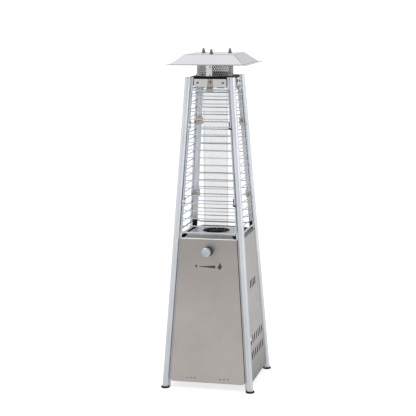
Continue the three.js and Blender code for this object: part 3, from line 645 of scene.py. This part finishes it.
# Screws
def screw(solid, place, head_r=SCREW_HEAD_R, head_h=2.5, shank_r=2.0, shank=6.0):
    """A pan head screw with a cross recess; its head sits on local z 0 and points along it."""
    count = 32
    recess = head_r * 0.5
    solid.place = place

    def cross(size, height):
        turns = [FULL * i / count for i in range(count)]
        radii = [size * (0.42 + 0.58 * abs(math.cos(2 * a)) ** 2.5) for a in turns]
        return [(r * math.cos(a), r * math.sin(a), height) for r, a in zip(radii, turns)]

    def ring(radius, height):
        return [(*point, height) for point in circle(radius, count)]

    solid.loft([
        ring(shank_r, -shank),
        ring(shank_r, 0),
        ring(head_r, 0),
        ring(head_r, head_h * 0.35),
        ring(head_r * 0.9, head_h * 0.72),
        ring(head_r * 0.72, head_h * 0.92),
        cross(recess, head_h),
        cross(recess * 0.85, head_h * 0.35),
    ])


# Panels
PANEL_BOTTOM = 20.0
PANEL_TOP = 418.5
FLAP_RISE = 8.4
FLAP_RUN = 16.7
FLAP_HALF_BOTTOM = 72.2
FLAP_HALF_TOP = 60.0
PANEL_HALF_TOP = 79.5
SLOT_W = 11.0
LOW_SLOTS = {"count": 7, "pitch": 24, "height": 23}
LOW_SLOT_ROWS = (79, 121)
HIGH_SLOTS = {"count": 4, "pitch": 20, "height": 24, "bottom": 270}
HOLE_R = 1.6
HOLE_HEIGHT = 32
HOLE_PITCH = 11
HOLE_GROUP_X = 47
KNOB_HEIGHT = 385.0
KNOB_HOLE_R = 4.2
INLET_HEIGHT = 60.0
INLET_HOLE_R = 7.7
NOZZLE_X = 45.0


def slots(count, pitch, height, bottom):
    """A row of upright slots with round ends."""
    r = SLOT_W / 2
    low = along(bottom)
    made = []
    for i in range(count):
        x = (i - (count - 1) / 2) * pitch
        made.append([*arc(r, math.pi, FULL, 8, x, low + r), *arc(r, 0, math.pi, 8, x, low + height - r)])
    return made


def panel_holes(side):
    low_rows = [slot for bottom in LOW_SLOT_ROWS for slot in slots(**LOW_SLOTS, bottom=bottom)]
    if side == "back":
        return [*low_rows, circle(INLET_HOLE_R, 32, NOZZLE_X, along(INLET_HEIGHT))]
    if side != "front":
        return [*low_rows, *slots(**HIGH_SLOTS)]
    places = [way * HOLE_GROUP_X + i * HOLE_PITCH for way in (-1, 1) for i in (-1, 0, 1)]
    small = [circle(HOLE_R, 16, x, along(HOLE_HEIGHT)) for x in places]
    return [circle(KNOB_HOLE_R, 24, 0, along(KNOB_HEIGHT)), *small]


def panel(index, side):
    """A folded tray with a flap at the top that leans in towards the burner deck."""
    place = side_frame(index)
    low, high = extent(f"{side}_panel", place)
    face = low.y
    bend = 1.9
    rim_end = FLANGE_FRONT - 0.4
    bottom = along(PANEL_BOTTOM)
    fold = along(PANEL_TOP)
    half_bottom = high.x
    half_top = PANEL_HALF_TOP
    corner = 6
    outline = rounded([
        (-half_bottom + corner, bottom), (half_bottom - corner, bottom), (half_bottom, bottom + corner),
        (half_top, fold + 1), (-half_top, fold + 1), (-half_bottom, bottom + corner),
    ], [5, 5, 5, 3, 3, 5])
    solid = Solid(place @ FACING)
    solid.sheet([
        (inset_of(outline), folded_rim(face, rim_end, bend, SHEET)),
        *((inset_of(hole), hole_edge(face, face + SHEET)) for hole in panel_holes(side)),
    ])
    # painted shade on the inner faces
    solid.repaint(1, lambda spot: spot.z > face + SHEET / 2 and spot.z < rim_end - 0.5)

    middle = face + SHEET / 2
    flap_end = (middle + FLAP_RUN, fold + FLAP_RISE)
    section = strip([(middle, fold - 5), (middle, fold), flap_end], SHEET - 0.04, 2.6)
    fade = (FLAP_HALF_BOTTOM - FLAP_HALF_TOP) / FLAP_RISE

    def reach(height):
        return FLAP_HALF_BOTTOM - fade * min(max(height - fold, 0), FLAP_RISE)

    solid.place = place
    solid.loft([[(way * reach(z), y, z) for y, z in section] for way in (-1, 1)])
    # painted highlight along the front panel's top fold
    if side == "front":
        solid.repaint(2, lambda spot: abs(spot.z - fold) < 1.2 and spot.y < middle + 2.2)
    finishes = [FRONT_STEEL if side == "front" else PANEL_STEEL, INSIDE_SHADE, FOLD_HIGHLIGHT]
    piece(f"{side}_panel_sheet", solid, finishes, [f"{side}_panel"])


# Burner deck and burner
def deck():
    """A square pan with a raised lip around its hole, and a flange below that reaches the legs."""
    top = extent("burner_deck")[1].z
    size = 69.5
    skirt = 22.0
    thick = 1.2
    bottom = top - skirt
    flange = half(bottom) - FLANGE_FRONT - GAP
    notch = half(bottom) - FLANGE_REACH - 1
    bend = 2.6
    hole_r = 37.8
    under = top - thick
    lip = [
        (-2.2, top), (-1.6, top + 0.1), (-0.9, top + 0.7), (-0.4, top + 0.9), (0, top + 0.7),
        (0.1, top + 0.1), (0, under), (-1.2, under - 0.2), (-2.2, under),
    ]
    solid = Solid()
    solid.sheet([
        (lambda inset: square(size - inset, 4.0 - min(inset, 3.0)), folded_rim(top, bottom, bend, thick)),
        (lambda inset: circle(hole_r - inset, LARGE_ROUND), lip),
    ])
    cross = rounded([
        (-notch, -flange), (notch, -flange), (notch, -notch), (flange, -notch),
        (flange, notch), (notch, notch), (notch, flange), (-notch, flange),
        (-notch, notch), (-flange, notch), (-flange, -notch), (-notch, -notch),
    ], 1.5)
    solid.slab(cross, bottom, bottom + thick, 0.25, holes=[square(size - thick / 2, 3.0)])
    # painted shade on the deck's underside and flange
    solid.repaint(1, lambda spot: spot.z < under - 0.1)
    piece("burner_deck_pan", solid, [DECK_STEEL, INSIDE_SHADE], ["burner_deck"])


def seat_ring():
    """The ring that the glass tube stands in."""
    low, high = extent("tube_seat_ring")
    top = high.z
    bore_r = 30
    shoulder = top - 3.1
    shelf = top - 3.6
    lip = top - 1.6
    solid = Solid()
    solid.revolve(rounded([
        (bore_r, low.z), (high.x, low.z), (high.x, shoulder), (37.3, shoulder), (37.3, top),
        (35.4, top), (35.4, shelf), (31.8, shelf), (31.8, lip), (bore_r, lip),
    ], 0.4, steps=3), LARGE_ROUND)
    # painted shade: the seat ring is near black so the base of the tube reads dark
    piece("tube_seat", solid, BLACK_PAINT_AND_SHADE, ["tube_seat_ring"])


def burner_head():
    """The burner's cup: a domed lid over a ring of upright flame slots, on its mounting flange."""
    top = extent("burner_head")[1].z
    cup_r = 22
    groove = 1.8
    flange_r = 40
    stem_r = 12

    def ring(radius, depth, cut=0.0):
        return grooved_ring(radius, top - depth, 144, 6, cut)

    solid = Solid()
    solid.loft([
        [(0, 0, top)], ring(8, 0.3), ring(16, 0.8), ring(20, 1.4), ring(21.6, 2.6),
        ring(cup_r, 3.8), ring(cup_r, 4.4, groove), ring(cup_r, 10.6, groove), ring(cup_r, 11.2),
        ring(cup_r, 11.6), ring(flange_r - 0.4, 11.8), ring(flange_r, 12.2), ring(flange_r, 15.1),
        ring(flange_r - 0.4, 15.5), ring(cup_r, 15.5), ring(cup_r, 21.5),
        ring(stem_r, 25.5), ring(stem_r, 33.5), [(0, 0, top - 33.5)],
    ])
    # painted shade: near-black burner
    piece("burner_cup", solid, BURNER_SHADE, ["burner_head"])


# Glass tube
def tube(solid, inner, outer, low, high, corner, segments=LARGE_ROUND):
    profile = [(inner, low), (outer, low), (outer, high), (inner, high)]
    solid.revolve(rounded(profile, corner), segments)


def glass_tube():
    low, high = extent("glass_tube")
    wall = 2.5
    solid = Solid()
    tube(solid, high.x - wall, high.x, low.z, high.z, 0.7, segments=96)
    piece("glass_tube_wall", solid, TUBE_GLASS, ["glass_tube"])


def gasket():
    low, high = extent("tube_gasket")
    bore_r = 31
    solid = Solid()
    tube(solid, bore_r, high.x, low.z, high.z, 0.9)
    piece("tube_gasket_ring", solid, RUBBER, ["tube_gasket"])


# Guards, clips and hooks
WIRE_R = 2.3
RUNG_R = 1.4
GUARD_FRONT = 1.4
GUARD_INSET = 11.0
GUARD_TOP = 821.0
GUARD_BOTTOM = 434.0
GUARD_CORNER = 10
RUNG_COUNT = 18
RUNG_PITCH = 20.76
TOP_RUNG = 805
BRACKET_BOTTOM = 830
BRACKET_TOP = 851
BRACKET_HALF = 45
BRACKET_SCREW_X = 35
HOOK_SCREW_HEIGHT = 843
CLIP_RUNGS = (("upper", 4), ("lower", 14))


def rung_height(i):
    return TOP_RUNG - i * RUNG_PITCH


def guard(index, side):
    """A bent frame wire with cross wires welded between its sides."""
    place = side_frame(index)
    low = half(GUARD_BOTTOM + GUARD_CORNER) - GUARD_INSET
    high = half(GUARD_TOP - GUARD_CORNER) - GUARD_INSET
    bottom = along(GUARD_BOTTOM)
    top = along(GUARD_TOP)
    corners = rounded([(-low, bottom), (low, bottom), (high, top), (-high, top)], GUARD_CORNER, steps=8)
    solid = Solid(place @ at(y=-GUARD_FRONT))
    solid.sweep([(x, 0, z) for x, z in corners], WIRE_R, closed=True, up=(0, 1, 0))
    lie_across = Matrix.Rotation(QUARTER, 4, "Y")
    for i in range(RUNG_COUNT):
        height = rung_height(i)
        reach = half(height) - GUARD_INSET - 0.6
        bead = ((RUNG_R, 4), (1.6, 2.9), (1.95, 2.2), (2.05, 1.2), (1.6, 0))
        weld = [(r, reach - back) for r, back in bead]
        opposite = [(r, -z) for r, z in weld[::-1]]
        solid.place = place @ at(y=-GUARD_FRONT, z=along(height)) @ lie_across
        solid.revolve([(0, -reach), *opposite, *weld, (0, reach)], 10)
    piece(f"{side}_guard_wires", solid, GUARD_WIRE, [f"{side}_guard"], sharp=50)


def top_bracket(index, side):
    """The screwed plate between two leg tops."""
    place = side_frame(index)
    bottom = along(BRACKET_BOTTOM)
    top = along(BRACKET_TOP)
    middle = (bottom + top) / 2
    face = FLANGE_FRONT
    wide = BRACKET_HALF
    outline = rounded([(-wide, bottom), (wide, bottom), (wide, top), (-wide, top)], 2)
    solid = Solid(place @ FACING)
    solid.slab(outline, face, face + 1.5, 0.35, holes=[circle(2.5, 24, 0, along(HOOK_SCREW_HEIGHT))])
    piece(f"{side}_bracket_plate", solid, BRACKET_STEEL, [f"{side}_top_bracket"])
    screws = Solid()
    for way in (-1, 1):
        spot = place @ at(way * BRACKET_SCREW_X, face, middle)
        screw(screws, spot @ OUTWARD, head_r=3.5, head_h=2.1)
    piece(f"{side}_bracket_screws", screws, DARK_SCREW)


def guard_hook(index, side):
    """The bent tongue that holds the guard's top wire."""
    place = side_frame(index)
    back = FLANGE_FRONT - GAP - FOLD_SHEET / 2
    line = ((back, BRACKET_TOP), (back, 829), (WIRE_FRONT, 824.5), (WIRE_FRONT, 816.5))
    section = strip([(y, along(height)) for y, height in line], FOLD_SHEET, 1.6)
    low = along(816)
    high = along(852)
    half_low = 10
    half_high = 6

    def reach(height):
        return half_low - (half_low - half_high) * (height - low) / (high - low)

    solid = Solid(place)
    solid.loft([[(way * reach(z), y, z) for y, z in section] for way in (1, -1)])
    piece(f"{side}_hook_tongue", solid, CLIP_STEEL, [f"{side}_guard_hook"])
    screws = Solid()
    spot = place @ at(0, back - FOLD_SHEET / 2, along(HOOK_SCREW_HEIGHT))
    screw(screws, spot @ OUTWARD, head_r=4.1, head_h=2.3, shank=3.5)
    piece(f"{side}_hook_screw", screws, DARK_SCREW)


# Legs whose clip arms get another finish than the clip's plate: painted shade on the front-right arms, and
# the leg's own finish on the front-left arms so that they blend into the leg
ARM_FINISHES = {"front_right": CLIP_ARM_SHADE, "front_left": LEG_ALUMINIUM}


def guard_clip(index, corner, name, rung):
    """The folded clip behind a leg; its arms hold the side wires of both guards beside it."""
    node = f"{corner}_{name}_clip"
    place = corner_frame(index)
    low, high = extent(node)
    side = 17.2
    shoulder = 1.6
    hook_end = 9.0
    tuck = 1.2
    web = [(-side, shoulder), (-shoulder, side)]
    first = [(-hook_end, WIRE_FRONT), (-side, WIRE_FRONT), (-side, shoulder), (tuck - side, shoulder + tuck)]
    second = [(-y, -x) for x, y in first]
    solid = Solid(place)
    solid.slab(strip(web, FOLD_SHEET), low.z, high.z, 0.3)
    # the arms below take the arm finish, which is painted shade on the front-right clips
    solid.paint = 1
    below = rung - RUNG_R - GAP
    above = rung + RUNG_R + GAP
    for arm, bottom, top in ((first, low.z, below), (second, low.z, below), (second, above, above + 8)):
        solid.slab(strip(arm, FOLD_SHEET, [0, 1.2, 1.0, 0]), bottom, top, 0.25)
    finishes = [CLIP_STEEL, ARM_FINISHES.get(corner, CLIP_STEEL)]
    piece(f"{node}_plate", solid, finishes, [node])
    distance = (side + shoulder) * math.sqrt(0.5) + FOLD_SHEET / 2
    inwards = Vector((-1, 1, 0)).normalized()
    point = Vector((0, 0, 1)).rotation_difference(inwards).to_matrix().to_4x4()
    spot = Matrix.Translation(place @ (inwards * distance + Vector((0, 0, (low.z + high.z) / 2))))
    turn = Matrix.Rotation(index * QUARTER, 4, "Z")
    screws = Solid()
    screw(screws, spot @ turn @ point, shank=distance - NOSE_R - 1)
    piece(f"{node}_screw", screws, SCREW_STEEL)


# Top plate, flame screen and hood
def at_stud(degrees):
    angle = math.radians(degrees)
    return Vector((STUD_CIRCLE_R * math.cos(angle), STUD_CIRCLE_R * math.sin(angle), 0))


def stud_holes():
    spots = [at_stud(degrees) for degrees in STUD_ANGLES]
    return [circle(STUD_HOLE_R, 20, spot.x, spot.y) for spot in spots]


def top_plate():
    """A shallow tray upside down, with chamfered corners and a spigot for the flame screen."""
    low, high = extent("top_plate")
    top = TOP_PLATE_TOP
    thick = 1.5
    chamfer = 5.6
    edge = high.x
    corner = edge - chamfer
    outline = rounded([
        (-corner, -edge), (corner, -edge), (edge, -corner), (edge, corner),
        (corner, edge), (-corner, edge), (-edge, corner), (-edge, -corner),
    ], 2.5)
    flame_hole = circle(32, LARGE_ROUND)
    solid = Solid()
    solid.sheet([
        (inset_of(outline), folded_rim(top, low.z, 2.2, thick, steps=4, band=0.3)),
        *((inset_of(hole), hole_edge(top, top - thick)) for hole in (flame_hole, *stud_holes())),
    ])
    tube(solid, 46.4, 48.8, top - 1, high.z, 0.5)
    piece("top_plate_cover", solid, BLACK_PAINT_AND_SHADE, ["top_plate"])


SEAM_FROM = -105.5
SEAM_TO = -86.0


def flame_screen():
    """A rolled sheet with staggered round holes and a plain strip along its seam."""
    low, high = extent("flame_screen")
    outer = high.x
    wall = 0.8
    columns = 52
    rows = 10
    margin = 2.6
    hole_r = 2.05
    step = FULL / columns
    rise = (high.z - low.z - 2 * margin) / rows
    wide = step / 2
    tall = rise / 2
    edge = [(-wide, -tall), (0, -tall), (wide, -tall), (wide, tall), (0, tall), (-wide, tall)]
    hole = [(x / outer, y) for x, y in circle(hole_r, 10)]
    seam_middle = math.radians((SEAM_FROM + SEAM_TO) / 2)
    seam_half = math.radians(SEAM_TO - SEAM_FROM) / 2 - step * 0.2
    solid = Solid()

    def point(angle, height, radius):
        return (radius * math.cos(angle), radius * math.sin(angle), height)

    def pattern(*loops):
        return tessellate_polygon([[Vector((a * outer, h, 0)) for a, h in loop] for loop in loops])

    def cell(angle, height, loops, triangles):
        """One cell of the sheet, on both of its faces; returns the rings around its hole."""
        around = []
        for paint, radius in enumerate((outer, outer - wall)):
            solid.paint = paint
            rings = [solid.ring([point(angle + a, height + h, radius) for a, h in loop]) for loop in loops]
            corners = [corner for ring in rings for corner in ring]
            for triangle in triangles:
                solid.face([corners[i] for i in triangle])
            around += rings[1:]
        return around

    holed = pattern(edge, hole)
    plain = pattern(edge)
    for row in range(rows):
        height = low.z + margin + (row + 0.5) * rise
        for column in range(columns):
            angle = step * (column + 0.5 * (row % 2))
            away = abs((angle - seam_middle + math.pi) % FULL - math.pi)
            if away > seam_half:
                solid.bridge(*cell(angle, height, (edge, hole), holed))
            else:
                cell(angle, height, (edge,), plain)
    solid.paint = 0
    last_shift = 0.5 * ((rows - 1) % 2)
    for joined, free, shift in ((low.z + margin, low.z, 0), (high.z - margin, high.z, last_shift)):
        angles = [step * (i / 2 + shift) for i in range(2 * columns)]
        section = ((joined, outer), (free, outer), (free, outer - wall), (joined, outer - wall))
        made = [solid.ring([point(a, height, radius) for a in angles]) for height, radius in section]
        for first, second in zip(made, made[1:]):
            solid.bridge(first, second)
    bmesh.ops.remove_doubles(solid.mesh, verts=solid.mesh.verts, dist=0.01)
    # painted shade on the screen's inner face
    finishes = [SCREEN_STEEL, INSIDE_SHADE]
    piece("flame_screen_sheet", solid, finishes, ["flame_screen"])


def radial(degrees, radius, height):
    """A place on the screen's surface, with local z pointing outwards."""
    angle = math.radians(degrees)
    turn = Matrix.Rotation(angle, 4, "Z") @ Matrix.Rotation(QUARTER, 4, "Y")
    return at(radius * math.cos(angle), radius * math.sin(angle), height) @ turn


def screen_seam():
    """The overlapped seam of the screen, its screws, and the screws that hold it to the spigot."""
    low, high = extent("flame_screen")
    inner = high.x + 0.02
    thick = 0.6
    start = math.radians(SEAM_FROM)
    end = math.radians(SEAM_TO)
    section = arc(inner, start, end, 10) + arc(inner + thick, end, start, 10)
    solid = Solid()
    solid.slab(section, low.z + 0.4, high.z - 0.4, 0.2)
    piece("flame_screen_seam", solid, SEAM_STEEL)
    screws = Solid()
    for height in (low.z + 3.2, (low.z + high.z) / 2 - 2.5, high.z - 5):
        screw(screws, radial(SEAM_TO - 6.5, high.x + thick, height), 1.9, 1.1, 1.0, 1.2)
    for degrees in (-170, -122, -53, -5, 65, 125):
        screw(screws, radial(degrees, high.x, low.z + 4.5), 2.2, 1.3, 1.1, 1.2)
    piece("flame_screen_screws", screws, DARK_SCREW)


RIM_HALF = 113.0
RIM_Z = 891.4
SLOPE_HALF = 100.8
HOOD_TOP_HALF = 67.9


def hood():
    """A square folded hood: flat top, four sloping sides and a narrow level rim."""
    top = extent("hood")[1].z
    line = rounded([
        (HOOD_TOP_HALF - 20, top), (HOOD_TOP_HALF, top), (SLOPE_HALF, RIM_Z), (RIM_HALF - 0.5, RIM_Z),
    ], 3.4, closed=False, steps=4)
    under = offset(line, -SHEET, closed=False)
    edge = [(RIM_HALF, RIM_Z - 0.5), (RIM_HALF, RIM_Z - 0.75)]
    profile = [(RIM_HALF - x, z) for x, z in [*line, *edge, *under[::-1]]]
    solid = Solid()
    solid.sheet([
        (lambda inset: square(RIM_HALF - inset, 1.2, steps=4), profile),
        *((inset_of(hole), hole_edge(top, top - SHEET)) for hole in stud_holes()),
    ])

    def on_fold(spot):
        reach = max(abs(spot.x), abs(spot.y))
        hip = abs(abs(spot.x) - abs(spot.y)) < 1.6 and reach > HOOD_TOP_HALF - 2
        return hip or min(abs(reach - HOOD_TOP_HALF), abs(reach - SLOPE_HALF)) < 1.25

    # painted shade along the folds and hips
    solid.repaint(1, on_fold)
    piece("hood_sheet", solid, [HOOD_STEEL, HOOD_FOLD_SHADE], ["hood"])


def hood_fixings():
    """Studs, washers and dome nuts that carry the hood."""
    for i, degrees in enumerate(STUD_ANGLES, start=1):
        low, high = extent(f"hood_stud_{i}")
        nut_low, nut_high = extent(f"hood_nut_{i}")
        place = Matrix.Translation(at_stud(degrees))
        stud = Solid(place)
        rod_r = 2.4
        spacer_r = 3.1
        spacer_low = TOP_PLATE_TOP + GAP
        spacer_high = nut_low.z - SHEET - 2 * GAP
        stud.revolve(rounded([
            (0, low.z), (rod_r, low.z), (rod_r, spacer_low), (spacer_r, spacer_low),
            (spacer_r, spacer_high), (rod_r, spacer_high), (rod_r, high.z), (0, high.z),
        ], [0, 0.5, 0.1, 0.2, 0.2, 0.1, 0.5, 0]), 32)
        piece(f"hood_stud_rod_{i}", stud, PLAIN_STEEL, [f"hood_stud_{i}"])
        nut = Solid(place)
        seat = nut_low.z
        top = nut_high.z
        dome_r = 3.9
        washer_h = 0.8
        nut.slab(rounded(circle(4.9, 6), 0.3, steps=2), seat + washer_h, seat + 5.0, 0.35)
        nut.revolve(rounded([
            (0, seat + 4.8), (dome_r, seat + 4.8), (dome_r, seat + 6.5), (3.5, top - 3.4),
            (2.2, top - 0.8), (0, top),
        ], [0, 0, 1, 2, 1.2, 0]), 32)
        nut.slab(circle(6.2, 32), seat, seat + washer_h, 0.15, holes=[circle(2.8, 32)])
        piece(f"hood_dome_nut_{i}", nut, DARK_SCREW, [f"hood_nut_{i}"])


# Knob and gas fittings
def knob_place():
    return side_frame(0) @ at(z=along(KNOB_HEIGHT))


def knob():
    """A round push-and-turn knob: ribbed side, dished bright face, curved grip bar and a pointer tab."""
    place = knob_place() @ OUTWARD
    back = 9.4
    face = 31.8
    radius = 12.5

    def ring(size, height, cut=0.0):
        return grooved_ring(size, height, 144, 4, cut, shift=1)

    solid = Solid(place)
    solid.paint = 1
    socket_r = 9.4
    side_r = 12.1
    groove = 0.5
    solid.loft([
        ring(socket_r, 15.6), ring(socket_r, back), ring(11.6, back), ring(side_r, back + 0.5),
        ring(side_r, back + 0.9, groove), ring(side_r, face - 4.4, groove), ring(side_r, face - 4.0),
        ring(11.8, face - 3.8), ring(11.8, face - 3.4), ring(11.0, face - 3.4),
    ])
    solid.paint = 0
    solid.revolve([
        (0, face - 3.5), (11.9, face - 3.5), (radius, face - 3.1), (radius, face - 0.9),
        (12.2, face - 0.3), (11.6, face), (11.0, face - 0.1), (10.2, face - 0.55), (0, face - 0.7),
    ], 96)
    steps = 14
    bow = 0.46
    grip = strip(arc(20, QUARTER + bow, QUARTER - bow, steps, y=-17), 3.4)
    ends = (0, steps, steps + 1, 2 * steps + 1)
    grip = rounded(grip, [1.2 if i in ends else 0 for i in range(len(grip))])
    solid.place = place @ Matrix.Rotation(math.radians(32), 4, "Z")
    solid.slab(grip, face - 1.2, face + 1.2, 0.55)
    tab = rounded([(-2.2, 10.6), (2.2, 10.6), (0.9, 13.2), (-0.9, 13.2)], 0.4)
    solid.place = place @ Matrix.Rotation(math.radians(6), 4, "Z")
    solid.slab(tab, face - 2.8, face - 0.4, 0.3)
    finishes = [KNOB_CHROME, KNOB_SIDE]
    piece("control_knob_cap", solid, finishes, ["control_knob"], "control_knob")


def bezel():
    bore_r = 3.8
    back = 3.3
    rim_r = 13.5
    neck_r = 8.6
    front = 9
    profile = [(bore_r, back), (rim_r, back), (rim_r, 4.6), (12.7, 5.2), (neck_r, 5.4), (neck_r, front),
               (bore_r, front)]
    solid = Solid(knob_place() @ OUTWARD)
    solid.revolve(rounded(profile, [0.2, 0.3, 0.6, 0.8, 0.5, 0.6, 0.3], steps=3), LARGE_ROUND)
    piece("knob_bezel_ring", solid, BLACK_PLASTIC, ["knob_bezel"])


def gas_inlet():
    """The supply pipe, its collar at the back panel and the ribbed hose nozzle."""
    start = side_frame(0) @ Vector((-9, 34, along(KNOB_HEIGHT) - 22.8))
    route = [
        start, (-9, start.y + 2, start.z - 30), (-28, -40, 240), (-44, 20, 110),
        (-NOZZLE_X, 80, INLET_HEIGHT + 3), (-NOZZLE_X, half(INLET_HEIGHT) - 12, INLET_HEIGHT),
    ]
    solid = Solid()
    solid.sweep(smooth(route, 40), 3.6, 12)
    solid.place = side_frame(2) @ at(NOZZLE_X, 0, along(INLET_HEIGHT)) @ OUTWARD
    solid.revolve(rounded([
        (0, -14), (6, -14), (6, -3), (10, -3), (10, 1.6), (7, 1.6), (7, 3.4), (9.5, 3.4), (9.5, 6.6),
        (4.6, 6.6), (4.6, 8), (5.4, 8.4), (4.4, 10.4), (5.2, 10.8), (4.3, 12.4), (2.6, 13), (2.6, 4), (0, 4),
    ], [0, 0.4, 0.3, 0.4, 0.4, 0.2, 0.2, 0.4, 0.4, 0.3, 0.2, 0.2, 0.2, 0.2, 0.3, 0.2, 0.2, 0], steps=3), 48)
    piece("gas_inlet_fitting", solid, BRASS, ["gas_inlet_pipe"])


def smooth(points, steps):
    """A smooth curve through given points."""
    line = [Vector(point) for point in points]
    padded = [2 * line[0] - line[1], *line, 2 * line[-1] - line[-2]]
    made = []
    for i in range(steps + 1):
        place = i / steps * (len(line) - 1)
        part = min(int(place), len(line) - 2)
        t = place - part
        a, b, c, d = padded[part:part + 4]
        made.append(0.5 * (2 * b + (c - a) * t + (2 * a - 5 * b + 4 * c - d) * t * t
                           + (3 * b - a - 3 * c + d) * t ** 3))
    return made


def flame_marks():
    """A plain printed scale below the knob, from a small flame to a large one."""
    place = side_frame(0) @ FACING
    face = extent("front_panel", side_frame(0))[0].y
    solid = Solid(place)
    centre = along(KNOB_HEIGHT - 42)
    thick = 0.06

    def flame(x, size):
        shape = [(0, 1), (0.2, 0.62), (0.46, 0.3), (0.5, -0.1), (0.3, -0.48), (0, -0.62),
                 (-0.3, -0.48), (-0.5, -0.1), (-0.34, 0.22), (-0.16, 0.34), (-0.12, 0.66)]
        return [(x + size * u, centre + size * v) for u, v in reversed(shape)]

    wedge = [(-25, centre - 1.4), (20, centre - 4.4), (20, centre + 3.6), (-25, centre - 0.2)]
    for mark in (flame(-34, 6.0), flame(32, 12.0), wedge):
        solid.slab(mark, face - thick, face + 0.1, 0.02)
    piece("flame_size_marks", solid, MARK_INK)


# CAD nodes that stay as they are
KEPT = {
    "base_plate": BLACK_PAINT_AND_SHADE,
    "tilt_switch": BLACK_PLASTIC,
    "burner_mixing_tube": PLAIN_STEEL,
    "igniter_electrode": CERAMIC,
    "thermocouple": PLAIN_STEEL,
    "jet_and_feed_pipe": BRASS,
    "valve_bracket": PLAIN_STEEL,
    "valve_body": BRASS,
    "valve_rotor": BRASS,
    "valve_spindle": PLAIN_STEEL,
    "return_spring": PLAIN_STEEL,
}


def finish_kept_nodes():
    for node, material in KEPT.items():
        kept = frame["nodes"][node]
        for slot in kept.material_slots:
            slot.material = material


# Studio
def floor():
    radius = 30.0
    disc = bmesh.new()
    bmesh.ops.create_circle(disc, cap_ends=True, radius=radius, segments=96)
    mesh = bpy.data.meshes.new("studio_floor")
    disc.to_mesh(mesh)
    disc.free()
    made = Finish("studio_floor", Roughness=0.9, Emission_Color=(1.0, 1.0, 1.0, 1.0), Emission_Strength=0.78)
    mottle = made.noise(3.0, detail=2.0)
    made.set(Base_Color=made.times(rgb(146, 146, 146), made.between(mottle, 0.97, 1.0)))
    mesh.materials.append(made.material)
    ground = bpy.data.objects.new("studio_floor", mesh)
    bpy.context.scene.collection.objects.link(ground)


def world():
    """A white room: brightest overhead, dimmer behind the camera and low behind the heater."""
    made = bpy.data.worlds.new("studio")
    bpy.context.scene.world = made
    room = NodeTree(made)
    direction = room.nodes.new("ShaderNodeTexCoord").outputs["Generated"]
    level = 1.02
    # towards a direction, from the first cosine to the second, the light changes by the last number
    for towards, start, end, change in (
        ((0.0, 0.0, 1.0), 0.35, 0.95, 0.3),
        ((0.25, -0.97, 0.0), 0.45, 0.97, -0.5),
        ((0.0, 0.94, 0.34), 0.956, 0.996, -0.22),
    ):
        facing = room.dot(direction, Vector(towards).normalized())
        patch = room.between(facing, 0.0, change, start, end, interpolation_type="SMOOTHSTEP")
        level = room.add("Math", {0: level, 1: patch}, operation="ADD")
    sky = room.nodes["Background"]
    sky.inputs["Color"].default_value = (1.0, 1.0, 1.0, 1.0)
    room.plug(sky.inputs["Strength"], level)


def area_light(name, place, target, size, power):
    data = bpy.data.lights.new(name, "AREA")
    data.shape = "DISK"
    data.size = size
    data.energy = power
    lamp = bpy.data.objects.new(name, data)
    lamp.location = place
    lamp.rotation_euler = (Vector(target) - Vector(place)).to_track_quat("-Z", "Y").to_euler()
    bpy.context.scene.collection.objects.link(lamp)


def camera():
    """Seen from the front right and a little above the heater's top, looking slightly down."""
    place = Vector((0.8226, -3.4956, 1.0908))
    azimuth = math.radians(13.603)
    elevation = math.radians(9.513)
    roll = math.radians(-0.467)
    level = Vector((math.cos(azimuth), math.sin(azimuth), 0))
    ahead = Vector((-math.sin(azimuth), math.cos(azimuth), 0))
    looking = ahead * math.cos(elevation) - Vector((0, 0, math.sin(elevation)))
    upright = level.cross(looking)
    right = level * math.cos(roll) + upright * math.sin(roll)
    up = upright * math.cos(roll) - level * math.sin(roll)
    data = bpy.data.cameras.new("camera")
    data.sensor_width = 36.0
    data.lens = 113.2
    data.clip_end = 100.0
    made = bpy.data.objects.new("camera", data)
    turn = Matrix((right, up, -looking)).transposed().to_4x4()
    made.matrix_world = Matrix.Translation(place) @ turn
    bpy.context.scene.collection.objects.link(made)
    bpy.context.scene.camera = made


# Assembly
for index, side in enumerate(SIDES):
    panel(index, side)
    guard(index, side)
    top_bracket(index, side)
    guard_hook(index, side)

for index, corner in enumerate(CORNERS):
    leg(index, corner)
    foot(index, corner)
    for name, rung in CLIP_RUNGS:
        guard_clip(index, corner, name, rung_height(rung))

deck()
seat_ring()
burner_head()
glass_tube()
gasket()
top_plate()
flame_screen()
screen_seam()
hood()
hood_fixings()
knob()
bezel()
gas_inlet()
flame_marks()
finish_kept_nodes()

floor()
world()
area_light("key", (-2.2, -2.6, 3.2), (0, 0, 0.5), 1.8, 40)
area_light("fill", (2.8, -1.2, 1.8), (0, 0, 0.5), 1.6, 30)
camera()
bpy.context.scene.view_settings.view_transform = "Standard"
